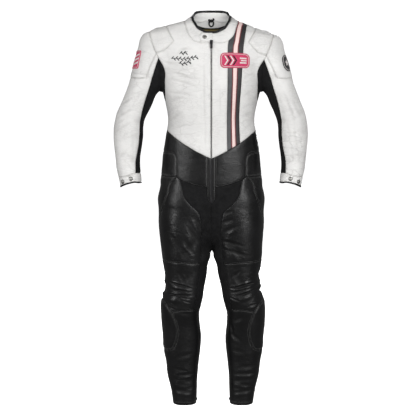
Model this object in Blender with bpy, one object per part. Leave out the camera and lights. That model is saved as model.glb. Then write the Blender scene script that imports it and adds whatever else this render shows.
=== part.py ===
"""A one-piece motorcycle race suit in leather, hollow and filled out as when it is worn.

The suit is cut from flat panels. One smooth body form gives every panel its curve. Seams are lines
drawn on that form between named landmarks, and each panel is a thin wall inside a loop of seams.
Units are metres, +Z is up, the front faces -Y, and +X is the wearer's left side.
Heights in the tables are measured up from the trouser hem. The origin is where the wearer's
shoulders hold the suit, HOLD_HEIGHT above the hem.
"""

import math

import bmesh
import bpy
import numpy as np
from mathutils import Matrix, Vector
from mathutils.bvhtree import BVHTree
from mathutils.geometry import delaunay_2d_cdt

SUIT = "motorcycle_race_suit"
HOLD_HEIGHT = 1.430

# Cloth and sewing
LEATHER = 0.0022
PATCH_CLOTH = 0.0012
LINING_CLOTH = 0.0012
SEAM_GAP = 0.0003
LINING_GAP = 0.0010
PATCH_GAP = 0.0012
PATCH_REACH = 0.013
PAD_RISE = 0.0025
PAD_BEVEL = 0.009
BLEND = 0.030
ZIP_HALF = 0.0028
PLACKET_HALF = 0.0156

# Spacing of the points: along seams and bound edges, and across and along the inside of a panel
SEAM_STEP = 0.030
EDGE_STEP = 0.018
PATCH_STEP = 0.011
PANEL_STEPS = {
    "plain": (0.033, 0.033),
    "small": (0.027, 0.027),
    "patch": (0.013, 0.013),
    "pleated": (0.034, 0.0095),
}

# Body form, as horizontal sections. Each row is one section.
TORSO_COLUMNS = ("height", "outer", "front", "back")
TORSO_ROWS = (
    (1.510, 0.060, -0.040, 0.068),
    (1.490, 0.067, -0.047, 0.070),
    (1.476, 0.0725, -0.053, 0.073),
    (1.468, 0.0868, -0.0565, 0.0755),
    (1.460, 0.1002, -0.060, 0.078),
    (1.4525, 0.1279, -0.0645, 0.081),
    (1.445, 0.1583, -0.069, 0.084),
    (1.4375, 0.1840, -0.0725, 0.0865),
    (1.430, 0.2030, -0.076, 0.089),
    (1.4225, 0.2260, -0.0795, 0.0915),
    (1.415, 0.2470, -0.083, 0.094),
    (1.400, 0.2620, -0.091, 0.099),
    (1.390, 0.2667, -0.0955, 0.1025),
    (1.380, 0.2672, -0.100, 0.106),
    (1.350, 0.243, -0.110, 0.114),
    (1.320, 0.218, -0.118, 0.120),
    (1.280, 0.198, -0.125, 0.124),
    (1.230, 0.187, -0.129, 0.126),
    (1.190, 0.1820, -0.128, 0.123),
    (1.146, 0.1715, -0.124, 0.117),
    (1.086, 0.1623, -0.116, 0.107),
    (1.025, 0.172, -0.112, 0.104),
    (0.965, 0.1816, -0.112, 0.113),
    (0.904, 0.1875, -0.113, 0.126),
    (0.843, 0.1930, -0.113, 0.135),
    (0.782, 0.188, -0.109, 0.134),
    (0.721, 0.160, -0.099, 0.120),
    (0.660, 0.105, -0.078, 0.085),
    (0.630, 0.060, -0.052, 0.052),
    (0.612, 0.020, -0.020, 0.020),
)
LIMB_COLUMNS = ("height", "inner", "outer", "front", "back")
ARM_ROWS = (
    (1.385, 0.165, 0.2460, -0.046, 0.051),
    (1.370, 0.155, 0.2593, -0.060, 0.066),
    (1.352, 0.153, 0.2731, -0.072, 0.077),
    (1.326, 0.155, 0.2810, -0.078, 0.082),
    (1.266, 0.169, 0.2984, -0.082, 0.086),
    (1.206, 0.194, 0.3166, -0.080, 0.083),
    (1.176, 0.2105, 0.3281, -0.076, 0.079),
    (1.146, 0.2224, 0.3412, -0.072, 0.074),
    (1.116, 0.2377, 0.3555, -0.069, 0.070),
    (1.086, 0.2515, 0.3630, -0.067, 0.066),
    (1.055, 0.2568, 0.3683, -0.067, 0.062),
    (1.025, 0.2575, 0.3685, -0.069, 0.055),
    (0.995, 0.2609, 0.3668, -0.072, 0.046),
    (0.935, 0.2680, 0.3597, -0.079, 0.028),
    (0.904, 0.2671, 0.3561, -0.084, 0.016),
    (0.874, 0.2635, 0.3490, -0.088, 0.004),
    (0.843, 0.2600, 0.3420, -0.093, -0.006),
    (0.800, 0.2590, 0.3380, -0.098, -0.014),
)
LEG_ROWS = (
    (0.850, 0.040, 0.160, -0.080, 0.095),
    (0.800, 0.012, 0.193, -0.103, 0.128),
    (0.750, 0.004, 0.1975, -0.108, 0.130),
    (0.700, 0.003, 0.1985, -0.109, 0.122),
    (0.660, 0.004, 0.1950, -0.108, 0.112),
    (0.600, 0.011, 0.1900, -0.103, 0.099),
    (0.552, 0.0150, 0.1860, -0.098, 0.089),
    (0.506, 0.0205, 0.1800, -0.093, 0.080),
    (0.445, 0.0325, 0.1800, -0.092, 0.070),
    (0.413, 0.0375, 0.1900, -0.094, 0.066),
    (0.383, 0.0440, 0.1935, -0.090, 0.066),
    (0.352, 0.0515, 0.1935, -0.083, 0.067),
    (0.320, 0.0515, 0.1925, -0.077, 0.070),
    (0.258, 0.0460, 0.1875, -0.069, 0.075),
    (0.196, 0.0499, 0.1855, -0.065, 0.075),
    (0.165, 0.0538, 0.1795, -0.062, 0.070),
    (0.102, 0.0597, 0.1713, -0.058, 0.058),
    (0.050, 0.0612, 0.1590, -0.056, 0.051),
    (0.000, 0.0630, 0.1520, -0.055, 0.048),
    (-0.040, 0.0640, 0.1500, -0.055, 0.047),
)
SECTION_POWER = 2.3

# The largest folds, as soft troughs (depth below 0) and ridges (depth above 0).
# Each row: start and end (x, y, height), half width, depth.
FOLD_ROWS = (
    ((0.050, -0.085, 0.434), (0.190, -0.050, 0.462), 0.0075, -0.0050),
    ((0.062, -0.088, 0.412), (0.192, -0.045, 0.436), 0.0070, -0.0060),
    ((0.070, -0.085, 0.394), (0.175, -0.070, 0.412), 0.0065, -0.0040),
    ((0.150, -0.072, 0.472), (0.196, 0.000, 0.478), 0.0085, 0.0040),
    ((0.075, -0.055, 0.092), (0.160, -0.040, 0.104), 0.0090, -0.0045),
    ((0.072, -0.055, 0.066), (0.150, -0.045, 0.060), 0.0085, -0.0040),
    ((0.060, -0.095, 0.640), (0.110, -0.100, 0.570), 0.0120, -0.0040),
    ((0.075, -0.095, 0.520), (0.120, -0.090, 0.450), 0.0120, -0.0035),
    ((0.060, 0.060, 0.445), (0.180, 0.050, 0.430), 0.0100, -0.0060),
    ((0.262, -0.050, 1.075), (0.350, -0.050, 1.120), 0.0110, -0.0045),
    ((0.265, -0.055, 1.020), (0.355, -0.050, 1.050), 0.0110, -0.0040),
    ((0.205, -0.070, 1.225), (0.255, -0.075, 1.270), 0.0110, -0.0035),
    ((0.275, -0.075, 0.930), (0.350, -0.060, 0.965), 0.0100, -0.0035),
)

# Landmarks: how the point is found on the form, then its two coordinates.
#   front, back: x and height      outer, side, inside, sleeve: y and height      top: x and y
LANDMARKS = {
    "neck_zip": ("front", ZIP_HALF, 1.377),
    "neck_tab": ("front", 0.0400, 1.3735),
    "neck_stripe": ("front", 0.0635, 1.3810),
    "neck_shoulder": ("top", 0.0990, -0.004),
    "neck_back": ("back", 0.0, 1.462),
    "collar_front": ("front", 0.0, 1.4085),
    "collar_tab": ("front", 0.0340, 1.4110),
    "collar_back": ("back", 0.0, 1.4905),
    "ridge_stripe_2": ("top", 0.1140, -0.002),
    "ridge_stripe_3": ("top", 0.1290, -0.001),
    "ridge_pad": ("top", 0.1690, 0.002),
    "pad_tip_front": ("front", 0.1383, 1.3827),
    "pad_low_front": ("front", 0.1704, 1.3480),
    "pad_arm_front": ("front", 0.2045, 1.3340),
    "pad_tip_back": ("back", 0.1383, 1.3827),
    "pad_low_back": ("back", 0.1704, 1.3480),
    "pad_arm_back": ("back", 0.2045, 1.3340),
    "tip_front": ("front", 0.1955, 1.3180),
    "tip_back": ("back", 0.1955, 1.3180),
    "under_side": ("side", 0.004, 1.150),
    "waist_side": ("side", 0.004, 1.052),
    "waist_back": ("back", 0.0, 1.036),
    "v_stripe_3": ("front", 0.1075, 1.0030),
    "v_stripe_2": ("front", 0.0915, 0.9935),
    "v_stripe_1": ("front", 0.0762, 0.9845),
    "v_stripe_0": ("front", 0.0593, 0.9745),
    "v_placket": ("front", PLACKET_HALF, 0.9525),
    "v_zip": ("front", ZIP_HALF, 0.9475),
    "v_middle": ("front", 0.0, 0.9465),
    "placket_side": ("front", 0.0150, 0.8395),
    "placket_low": ("front", 0.0149, 0.7993),
    "placket_end": ("front", 0.0, 0.7806),
    "crotch_tip": ("front", 0.1163, 0.8664),
    "crotch_back": ("back", 0.0, 0.720),
    "seat_middle": ("back", 0.0, 0.858),
    "hip_side": ("side", 0.006, 0.969),
    "hip_front_top": ("front", 0.1446, 0.9668),
    "hip_front_low": ("front", 0.1300, 0.8776),
    "hip_back_top": ("back", 0.1500, 0.9668),
    "hip_back_low": ("back", 0.1420, 0.8776),
    "hip_end": ("outer", 0.006, 0.684),
    "thigh_in": ("front", 0.0426, 0.5490),
    "thigh_side": ("outer", 0.004, 0.5646),
    "knee_side": ("outer", 0.004, 0.4450),
    "slider_top": ("outer", 0.002, 0.4160),
    "slider_knee": ("front", 0.1513, 0.3650),
    "slider_low": ("outer", 0.006, 0.2120),
    "knee_in_front": ("front", 0.0700, 0.3715),
    "knee_in": ("inside", 0.000, 0.3715),
    "knee_in_back": ("back", 0.0760, 0.3715),
    "knee_back_in": ("back", 0.0640, 0.4400),
    "hem_side": ("outer", 0.000, 0.0),
    "hem_in": ("inside", 0.000, 0.0),
    "arm_low_front": ("front", 0.2415, 1.2436),
    "arm_low_back": ("back", 0.2415, 1.2436),
    "wrist_front": ("sleeve", -0.0780, 0.8900),
    "wrist_back": ("sleeve", -0.0080, 0.8880),
    "cuff_back": ("sleeve", -0.0160, 0.8570),
}

# Seams: first landmark, last landmark, spacing of the points, then places between the two.
SEAMS = {
    "zip_edge": ("neck_zip", "v_zip", SEAM_STEP, ()),
    "neck_a": ("neck_zip", "neck_tab", SEAM_STEP, (("front", 0.0220, 1.3735),)),
    "neck_b": ("neck_tab", "neck_stripe", SEAM_STEP, ()),
    "neck_c": ("neck_stripe", "neck_shoulder", SEAM_STEP, (("front", 0.0850, 1.4080),)),
    "neck_d": (
        "neck_shoulder",
        "neck_back",
        SEAM_STEP,
        (("top", 0.0900, 0.030), ("back", 0.0500, 1.458)),
    ),
    "collar_a": ("collar_front", "collar_tab", EDGE_STEP, ()),
    "collar_b": (
        "collar_tab",
        "collar_back",
        EDGE_STEP,
        (
            ("front", 0.0570, 1.4240),
            ("front", 0.0680, 1.4430),
            ("side", -0.036, 1.4630),
            ("side", 0.018, 1.4755),
            ("back", 0.0540, 1.4870),
        ),
    ),
    "collar_end": ("neck_tab", "collar_tab", SEAM_STEP, ()),
    "ridge_a": ("neck_shoulder", "ridge_stripe_2", SEAM_STEP, ()),
    "ridge_b": ("ridge_stripe_2", "ridge_stripe_3", SEAM_STEP, ()),
    "ridge_c": ("ridge_stripe_3", "ridge_pad", SEAM_STEP, ()),
    "stripe_0": (
        "neck_stripe",
        "v_stripe_0",
        SEAM_STEP,
        (("front", 0.0605, 1.3389), ("front", 0.0591, 1.1628)),
    ),
    "stripe_1": (
        "neck_shoulder",
        "v_stripe_1",
        SEAM_STEP,
        (("front", 0.0870, 1.3850), ("front", 0.0800, 1.3389), ("front", 0.0760, 1.1628)),
    ),
    "stripe_2": (
        "ridge_stripe_2",
        "v_stripe_2",
        SEAM_STEP,
        (("front", 0.1040, 1.3850), ("front", 0.0985, 1.3389), ("front", 0.0915, 1.1628)),
    ),
    "stripe_3": (
        "ridge_stripe_3",
        "v_stripe_3",
        SEAM_STEP,
        (("front", 0.1220, 1.3850), ("front", 0.1178, 1.3389), ("front", 0.1071, 1.1628)),
    ),
    "pad_front_a": ("ridge_pad", "pad_tip_front", SEAM_STEP, (("front", 0.1540, 1.4120),)),
    "pad_front_b": ("pad_tip_front", "pad_low_front", SEAM_STEP, ()),
    "pad_front_c": ("pad_low_front", "pad_arm_front", SEAM_STEP, ()),
    "pad_back_a": ("ridge_pad", "pad_tip_back", SEAM_STEP, (("back", 0.1540, 1.4120),)),
    "pad_back_b": ("pad_tip_back", "pad_low_back", SEAM_STEP, ()),
    "pad_back_c": ("pad_low_back", "pad_arm_back", SEAM_STEP, ()),
    "armhole_top": (
        "pad_arm_front",
        "pad_arm_back",
        SEAM_STEP,
        (("front", 0.2225, 1.3827), ("top", 0.2315, 0.0), ("back", 0.2225, 1.3827)),
    ),
    "armhole_front": ("pad_arm_front", "tip_front", SEAM_STEP, ()),
    "armhole_back": ("pad_arm_back", "tip_back", SEAM_STEP, ()),
    "armpit": (
        "tip_front",
        "tip_back",
        0.022,
        (
            ("near", 0.1945, -0.062, 1.260),
            ("near", 0.1975, -0.030, 1.205),
            ("near", 0.1985, 0.000, 1.195),
            ("near", 0.1975, 0.030, 1.205),
            ("near", 0.1945, 0.062, 1.260),
        ),
    ),
    "under_front": (
        "tip_front",
        "under_side",
        0.022,
        (
            ("front", 0.1787, 1.2876),
            ("front", 0.1714, 1.2600),
            ("front", 0.1735, 1.2250),
            ("side", -0.040, 1.170),
        ),
    ),
    "under_back": (
        "tip_back",
        "under_side",
        0.022,
        (
            ("back", 0.1787, 1.2876),
            ("back", 0.1714, 1.2600),
            ("back", 0.1735, 1.2250),
            ("side", 0.044, 1.170),
        ),
    ),
    "side_upper": ("under_side", "waist_side", SEAM_STEP, ()),
    "v_a": ("waist_side", "v_stripe_3", SEAM_STEP, (("front", 0.1520, 1.0360),)),
    "v_b": ("v_stripe_3", "v_stripe_2", SEAM_STEP, ()),
    "v_c": ("v_stripe_2", "v_stripe_1", SEAM_STEP, ()),
    "v_d": ("v_stripe_1", "v_stripe_0", SEAM_STEP, ()),
    "v_e": ("v_stripe_0", "v_placket", SEAM_STEP, ()),
    "v_f": ("v_placket", "v_zip", SEAM_STEP, ()),
    "v_g": ("v_zip", "v_middle", SEAM_STEP, ()),
    "waist_rear": ("waist_side", "waist_back", SEAM_STEP, (("back", 0.0900, 1.0400),)),
    "placket_a": ("v_placket", "placket_side", SEAM_STEP, ()),
    "placket_b": ("placket_side", "placket_low", SEAM_STEP, ()),
    "placket_c": ("placket_low", "placket_end", SEAM_STEP, (("front", 0.0105, 0.7870),)),
    "placket_slit": ("v_middle", "placket_end", SEAM_STEP, ()),
    "crotch_top": ("crotch_tip", "placket_side", SEAM_STEP, (("front", 0.0595, 0.8478),)),
    "hip_seam": ("hip_front_low", "crotch_tip", SEAM_STEP, ()),
    "hip_top_front": ("hip_side", "hip_front_top", SEAM_STEP, ()),
    "hip_top_back": ("hip_side", "hip_back_top", SEAM_STEP, ()),
    "hip_front": ("hip_front_top", "hip_front_low", SEAM_STEP, (("front", 0.1298, 0.9450),)),
    "hip_back": ("hip_back_top", "hip_back_low", SEAM_STEP, (("back", 0.1380, 0.9400),)),
    "hip_middle": (
        "hip_front_low",
        "hip_back_low",
        SEAM_STEP,
        (("front", 0.1700, 0.8780), ("side", 0.006, 0.8785), ("back", 0.1750, 0.8780)),
    ),
    "hip_lower_front": (
        "hip_front_low",
        "hip_end",
        SEAM_STEP,
        (("front", 0.1560, 0.8478), ("front", 0.1655, 0.8067), ("outer", -0.052, 0.7400)),
    ),
    "hip_lower_back": (
        "hip_back_low",
        "hip_end",
        SEAM_STEP,
        (("back", 0.1600, 0.8478), ("back", 0.1680, 0.8067), ("outer", 0.062, 0.7400)),
    ),
    "side_hip": ("waist_side", "hip_side", SEAM_STEP, ()),
    "seat": ("hip_back_low", "seat_middle", SEAM_STEP, (("back", 0.0700, 0.8640),)),
    "seat_centre": ("seat_middle", "crotch_back", SEAM_STEP, ()),
    "crotch_centre": (
        "placket_end",
        "crotch_back",
        0.024,
        (
            ("front", 0.0, 0.7000),
            ("front", 0.0, 0.6400),
            ("near", 0.0, -0.020, 0.604),
            ("near", 0.0, 0.020, 0.606),
            ("back", 0.0, 0.6500),
        ),
    ),
    "crotch_side": (
        "crotch_tip",
        "thigh_in",
        SEAM_STEP,
        (
            ("front", 0.1097, 0.8403),
            ("front", 0.1005, 0.8030),
            ("front", 0.0763, 0.7731),
            ("front", 0.0458, 0.7432),
            ("front", 0.0373, 0.7094),
            ("front", 0.0354, 0.6606),
            ("front", 0.0370, 0.6042),
        ),
    ),
    "crotch_rear": (
        "crotch_back",
        "knee_back_in",
        SEAM_STEP,
        (("back", 0.0300, 0.6800), ("back", 0.0420, 0.6200), ("back", 0.0500, 0.5500)),
    ),
    "inner_front": ("thigh_in", "knee_in_front", 0.014, (("front", 0.0560, 0.4600),)),
    "inner_back": ("knee_back_in", "knee_in_back", SEAM_STEP, ()),
    "knee_in_a": ("knee_in_front", "knee_in", SEAM_STEP, ()),
    "knee_in_b": ("knee_in", "knee_in_back", SEAM_STEP, ()),
    "thigh_seam": ("thigh_in", "thigh_side", SEAM_STEP, (("front", 0.1159, 0.5552),)),
    "side_thigh": ("hip_end", "thigh_side", SEAM_STEP, ()),
    "side_knee_a": ("thigh_side", "knee_side", 0.014, ()),
    "side_knee_b": ("knee_side", "slider_top", 0.014, ()),
    "slider_front_a": ("slider_top", "slider_knee", 0.018, (("front", 0.1760, 0.3960),)),
    "slider_front_b": (
        "slider_knee",
        "slider_low",
        SEAM_STEP,
        (("front", 0.1327, 0.3068), ("front", 0.1354, 0.2572), ("front", 0.1544, 0.2180)),
    ),
    "slider_back": (
        "slider_top",
        "slider_low",
        SEAM_STEP,
        (
            ("back", 0.1680, 0.3900),
            ("back", 0.1450, 0.3300),
            ("back", 0.1430, 0.2700),
            ("back", 0.1600, 0.2200),
        ),
    ),
    "knee_seam": ("knee_in_front", "slider_knee", SEAM_STEP, (("front", 0.1100, 0.3720),)),
    "knee_back": ("knee_back_in", "knee_side", SEAM_STEP, (("back", 0.1200, 0.4400),)),
    "side_shin": ("slider_low", "hem_side", SEAM_STEP, ()),
    "inner_shin": ("knee_in", "hem_in", SEAM_STEP, ()),
    "hem_front": (
        "hem_side",
        "hem_in",
        0.024,
        (("front", 0.1420, 0.0), ("front", 0.1080, 0.0), ("front", 0.0740, 0.0)),
    ),
    "hem_back": (
        "hem_side",
        "hem_in",
        0.024,
        (("back", 0.1420, 0.0), ("back", 0.1080, 0.0), ("back", 0.0740, 0.0)),
    ),
    "arm_front": ("pad_arm_front", "arm_low_front", SEAM_STEP, (("front", 0.2247, 1.2876),)),
    "arm_back": ("pad_arm_back", "arm_low_back", SEAM_STEP, (("back", 0.2247, 1.2876),)),
    "arm_low": (
        "arm_low_front",
        "arm_low_back",
        SEAM_STEP,
        (("front", 0.2780, 1.2430), ("outer", 0.0, 1.2430), ("back", 0.2780, 1.2430)),
    ),
    "sleeve_front": (
        "tip_front",
        "wrist_front",
        SEAM_STEP,
        (
            ("front", 0.2168, 1.2510),
            ("front", 0.2400, 1.1775),
            ("front", 0.2560, 1.1259),
            ("front", 0.2665, 1.0632),
            ("sleeve", -0.0520, 0.9965),
            ("sleeve", -0.0650, 0.9409),
        ),
    ),
    "sleeve_back": (
        "tip_back",
        "wrist_back",
        SEAM_STEP,
        (
            ("back", 0.2168, 1.2510),
            ("back", 0.2400, 1.1775),
            ("back", 0.2560, 1.1259),
            ("back", 0.2665, 1.0632),
            ("sleeve", 0.0240, 0.9965),
            ("sleeve", 0.0080, 0.9409),
        ),
    ),
    "cuff_outer": (
        "wrist_front",
        "wrist_back",
        0.022,
        (("front", 0.3102, 0.8806), ("outer", -0.0450, 0.8740), ("back", 0.3100, 0.8810)),
    ),
    "cuff_inner": ("wrist_front", "wrist_back", 0.022, (("sleeve", -0.0450, 0.8890),)),
    "cuff_end": ("wrist_back", "cuff_back", SEAM_STEP, ()),
    "cuff_bottom": (
        "cuff_back",
        "cuff_back",
        EDGE_STEP,
        (
            ("sleeve", -0.0700, 0.8575),
            ("front", 0.2860, 0.8600),
            ("front", 0.3150, 0.8540),
            ("outer", -0.0480, 0.8400),
            ("back", 0.3150, 0.8490),
            ("back", 0.2850, 0.8560),
        ),
    ),
}

# Panels: limb, seams, grain of the points, finish. Seams are in order round the panel, and "~"
# means the seam on the other side.
SIDE_PANELS = {
    "underarm": ("torso", "armpit under_back under_front", "small", "stretch_cloth"),
    "waist_front": (
        "torso",
        "v_a v_b v_c v_d v_e placket_a crotch_top hip_seam hip_front hip_top_front side_hip",
        "plain",
        "black_leather",
    ),
    "placket": (
        "torso",
        "v_f v_g placket_slit placket_c placket_b placket_a",
        "plain",
        "black_leather",
    ),
    "crotch": (
        "leg",
        "crotch_side inner_front knee_in_a knee_in_b inner_back crotch_rear crotch_centre"
        " placket_c placket_b crotch_top",
        "small",
        "stretch_cloth",
    ),
    "thigh_front": (
        "leg",
        "hip_seam crotch_side thigh_seam side_thigh hip_lower_front",
        "plain",
        "black_leather",
    ),
    "thigh_back": (
        "leg",
        "seat seat_centre crotch_rear knee_back side_knee_a side_thigh hip_lower_back",
        "plain",
        "black_leather",
    ),
    "knee": (
        "leg",
        "thigh_seam side_knee_a side_knee_b slider_front_a knee_seam inner_front",
        "pleated",
        "black_leather",
    ),
    "shin": (
        "leg",
        "knee_seam slider_front_b side_shin hem_front inner_shin knee_in_a",
        "plain",
        "black_leather",
    ),
    "calf": (
        "leg",
        "knee_back side_knee_b slider_back side_shin hem_back inner_shin knee_in_b inner_back",
        "plain",
        "black_leather",
    ),
    "sleeve_outer": (
        "arm",
        "armhole_front sleeve_front cuff_outer sleeve_back armhole_back arm_back arm_low arm_front",
        "plain",
        "white_leather",
    ),
    "sleeve_inner": ("arm", "sleeve_front cuff_inner sleeve_back armpit", "small", "stretch_cloth"),
    "cuff": (
        "arm",
        "-cuff_outer cuff_inner cuff_end cuff_bottom cuff_end",
        "plain",
        "white_leather",
    ),
}
SIDE_PADS = {
    "shoulder_pad": (
        "torso",
        "pad_front_a pad_front_b pad_front_c armhole_top pad_back_c pad_back_b pad_back_a",
        "plain",
        "white_leather",
    ),
    "arm_pad": ("arm", "armhole_top arm_back arm_low arm_front", "plain", "white_leather"),
    "hip_pad_upper": (
        "torso",
        "hip_top_front hip_front hip_middle hip_back hip_top_back",
        "plain",
        "black_leather",
    ),
    "hip_pad_lower": (
        "leg",
        "hip_middle hip_lower_back hip_lower_front",
        "plain",
        "black_leather",
    ),
    "knee_slider_pad": (
        "leg",
        "slider_front_a slider_front_b slider_back",
        "plain",
        "black_leather",
    ),
}
SHOULDER_LINE = "ridge_a ridge_b ridge_c pad_front_a pad_front_b pad_front_c armhole_front"
V_LINE = "v_a v_b v_c v_d v_e v_f"
RIGHT_PANELS = {
    "front": (
        "torso",
        f"zip_edge neck_a neck_b neck_c {SHOULDER_LINE} under_front side_upper {V_LINE}",
        "plain",
        "white_leather",
    ),
}
LEFT_PANELS = {
    "front_inner": (
        "torso",
        "zip_edge neck_a neck_b stripe_0 v_e v_f",
        "plain",
        "white_leather",
    ),
    "stripe_inner": ("torso", "stripe_0 neck_c stripe_1 v_d", "plain", "grey_leather"),
    "stripe_middle": ("torso", "stripe_1 ridge_a stripe_2 v_c", "plain", "pink_leather"),
    "stripe_outer": ("torso", "stripe_2 ridge_b stripe_3 v_b", "plain", "grey_leather"),
    "front_outer": (
        "torso",
        "stripe_3 ridge_c pad_front_a pad_front_b pad_front_c armhole_front under_front side_upper"
        " v_a",
        "plain",
        "white_leather",
    ),
}
MIDDLE_PANELS = {
    "zip_tape": ("torso", "zip_edge v_g v_g~ zip_edge~ zip_top", "plain", "stretch_cloth"),
    "back": (
        "torso",
        "neck_d ridge_a ridge_b ridge_c pad_back_a pad_back_b pad_back_c armhole_back under_back"
        " side_upper waist_rear waist_rear~ side_upper~ under_back~ armhole_back~ pad_back_c~"
        " pad_back_b~ pad_back_a~ ridge_c~ ridge_b~ ridge_a~ neck_d~",
        "plain",
        "white_leather",
    ),
    "waist_back": (
        "torso",
        "waist_rear side_hip hip_top_back hip_back seat seat~ hip_back~ hip_top_back~ side_hip~"
        " waist_rear~",
        "plain",
        "black_leather",
    ),
    "collar": (
        "torso",
        "neck_b~ neck_c~ neck_d~ neck_d neck_c neck_b neck_a zip_top neck_a~ collar_end~"
        " collar_a~ collar_a collar_b collar_b~ collar_end~",
        "plain",
        "white_leather",
    ),
}

# Patches lie on the panels: the way they face, where across and up, width, height, corner
# radius, finish.
PATCHES = {
    "chest_patch": (-90.0, 0.0868, 1.3080, 0.1080, 0.0560, 0.016, "crimson_patch"),
    "sleeve_patch_R": (-142.0, -0.1380, 1.3120, 0.0500, 0.0680, 0.004, "crimson_patch"),
    "sleeve_patch_L": (-38.0, 0.1380, 1.3040, 0.0560, 0.0700, 0.0279, "black_patch"),
}

# Neck lining: places on the back, drawn on the form and then moved inside.
LINING_TOP = ((0.0, 1.4330), (0.0350, 1.4370), (0.0620, 1.4480))
LINING_LOW = ((0.1150, 1.3600), (0.0600, 1.3050), (0.0, 1.2950))

# Snaps: name, side of the wearer, how the place is found, its two coordinates
SNAP_RADIUS = 0.0066
SNAP_HEIGHT = 0.0028
SNAPS = {
    "collar_snap_R": ("front", -0.0245, 1.3930),
    "cuff_snap_front_L": ("front", 0.3000, 0.8700),
    "cuff_snap_side_L": ("front", 0.3310, 0.8590),
    "cuff_snap_front_R": ("front", -0.3000, 0.8700),
    "cuff_snap_side_R": ("front", -0.3310, 0.8590),
}

# Bindings rolled over the collar edge and the cuff edges
COLLAR_BINDING = 0.0034
CUFF_BINDING = 0.0024

# Zip slider and its pull. The slider stands on the tape; the bail is the wire bow on its face.
SLIDER_HEIGHT = 1.3735
SLIDER_GAP = 0.0006
SLIDER_SIZE = (0.0110, 0.0170, 0.0050)
SLIDER_BEVEL = 0.0012
BAIL_RADIUS = 0.0040
BAIL_WIRE = 0.0008
BAIL_SINK = 0.0010
PIVOT_UP = -0.0010
PIVOT_OUT = 0.0014
PULL_WIDTH = 0.0085
PULL_LENGTH = 0.0245
PULL_THICKNESS = 0.0016
PULL_BAR = 0.0008
PULL_HOLE = (0.0038, 0.0052)

# Hanger loop: a cord loop inside the back of the collar
LOOP_HEIGHT = 1.4520
LOOP_SIZE = (0.0085, 0.0120)
LOOP_CORD = 0.0021
LOOP_POINTS = 16

# Stance: height and how far the finished suit leans to its left there; its left side drops
SWAY_ROWS = (
    (-0.10, 0.0065),
    (0.30, 0.0075),
    (0.45, 0.0050),
    (0.55, 0.0030),
    (0.66, 0.0),
    (2.0, 0.0),
)
SHOULDER_DROP = 0.0100
FOREARM_SHIFT = 0.0050

FINISHES = {
    "white_leather": ((0.78, 0.77, 0.75), 0.50, 0.0),
    "black_leather": ((0.022, 0.022, 0.024), 0.42, 0.0),
    "grey_leather": ((0.055, 0.055, 0.062), 0.45, 0.0),
    "pink_leather": ((0.86, 0.66, 0.62), 0.50, 0.0),
    "stretch_cloth": ((0.012, 0.012, 0.013), 0.85, 0.0),
    "lining_cloth": ((0.020, 0.018, 0.016), 0.90, 0.0),
    "crimson_patch": ((0.55, 0.02, 0.07), 0.75, 0.0),
    "black_patch": ((0.02, 0.02, 0.022), 0.75, 0.0),
    "binding": ((0.010, 0.010, 0.011), 0.60, 0.0),
    "dark_metal": ((0.16, 0.16, 0.17), 0.38, 1.0),
}


# ---------------------------------------------------------------- body form


class Sections:
    """Sizes of one limb at any height, smooth between the rows of its table."""

    def __init__(self, columns, rows):
        table = np.array(sorted(rows))
        self.heights = table[:, 0]
        sizes = {name: table[:, k] for k, name in enumerate(columns)}
        inner = sizes.get("inner", -sizes["outer"])
        self.rows = np.column_stack([inner, sizes["outer"], sizes["front"], sizes["back"]])
        self.slopes = np.gradient(self.rows, self.heights, axis=0)

    def read(self, height):
        """Inner, outer, front and back at each height, by a cubic between two rows."""
        h = np.clip(height, self.heights[0], self.heights[-1])
        k = np.clip(np.searchsorted(self.heights, h) - 1, 0, len(self.heights) - 2)
        span = self.heights[k + 1] - self.heights[k]
        t = ((h - self.heights[k]) / span)[:, None]
        span = span[:, None]
        start = self.rows[k] * (1 + 2 * t) + self.slopes[k] * span * t
        end = self.rows[k + 1] * (3 - 2 * t) - self.slopes[k + 1] * span * (1 - t)
        return start * (1 - t) ** 2 + end * t**2

    def sides(self, height):
        """Centre and half size of the section at each height."""
        inner, outer, front, back = self.read(height).T
        return (inner + outer) / 2, (outer - inner) / 2, (front + back) / 2, (back - front) / 2

    def depth(self, x, y, z):
        """About how far outside this limb each point is; negative inside."""
        centre_x, half_x, centre_y, half_y = self.sides(z)
        across = np.abs((x - centre_x) / half_x) ** SECTION_POWER
        along = np.abs((y - centre_y) / half_y) ** SECTION_POWER
        ratio = (across + along) ** (1 / SECTION_POWER)
        beyond = np.maximum(z - self.heights[-1], 0) + np.maximum(self.heights[0] - z, 0)
        return (ratio - 1) * np.minimum(half_x, half_y) + beyond


TORSO = Sections(TORSO_COLUMNS, TORSO_ROWS)
ARM = Sections(LIMB_COLUMNS, ARM_ROWS)
LEG = Sections(LIMB_COLUMNS, LEG_ROWS)


def blend(first, second):
    """The lesser of two depths, rounded where they are nearly equal."""
    mix = np.clip(0.5 + 0.5 * (second - first) / BLEND, 0, 1)
    return second * (1 - mix) + first * mix - BLEND * mix * (1 - mix)


def form(points):
    """Depth outside the whole filled-out suit at each point."""
    x, y, z = points[:, 0], points[:, 1], points[:, 2]
    side = np.abs(x)
    legs = blend(LEG.depth(x, y, z), LEG.depth(-x, y, z))
    return blend(blend(TORSO.depth(side, y, z), ARM.depth(side, y, z)), legs)


def slope(points):
    """The gradient of the form at each point."""
    reach = 2e-4
    result = np.empty_like(points)
    for axis in range(3):
        step = np.zeros(3)
        step[axis] = reach
        result[:, axis] = (form(points + step) - form(points - step)) / (2 * reach)
    return result


def outward(points):
    """Unit normals of the form."""
    gradient = slope(points)
    return gradient / np.linalg.norm(gradient, axis=1, keepdims=True)


def onto_form(points):
    """The points moved along the slope until they lie on the form."""
    for _ in range(12):
        gradient = slope(points)
        points = points - gradient * (form(points) / (gradient**2).sum(axis=1))[:, None]
    return points


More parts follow.
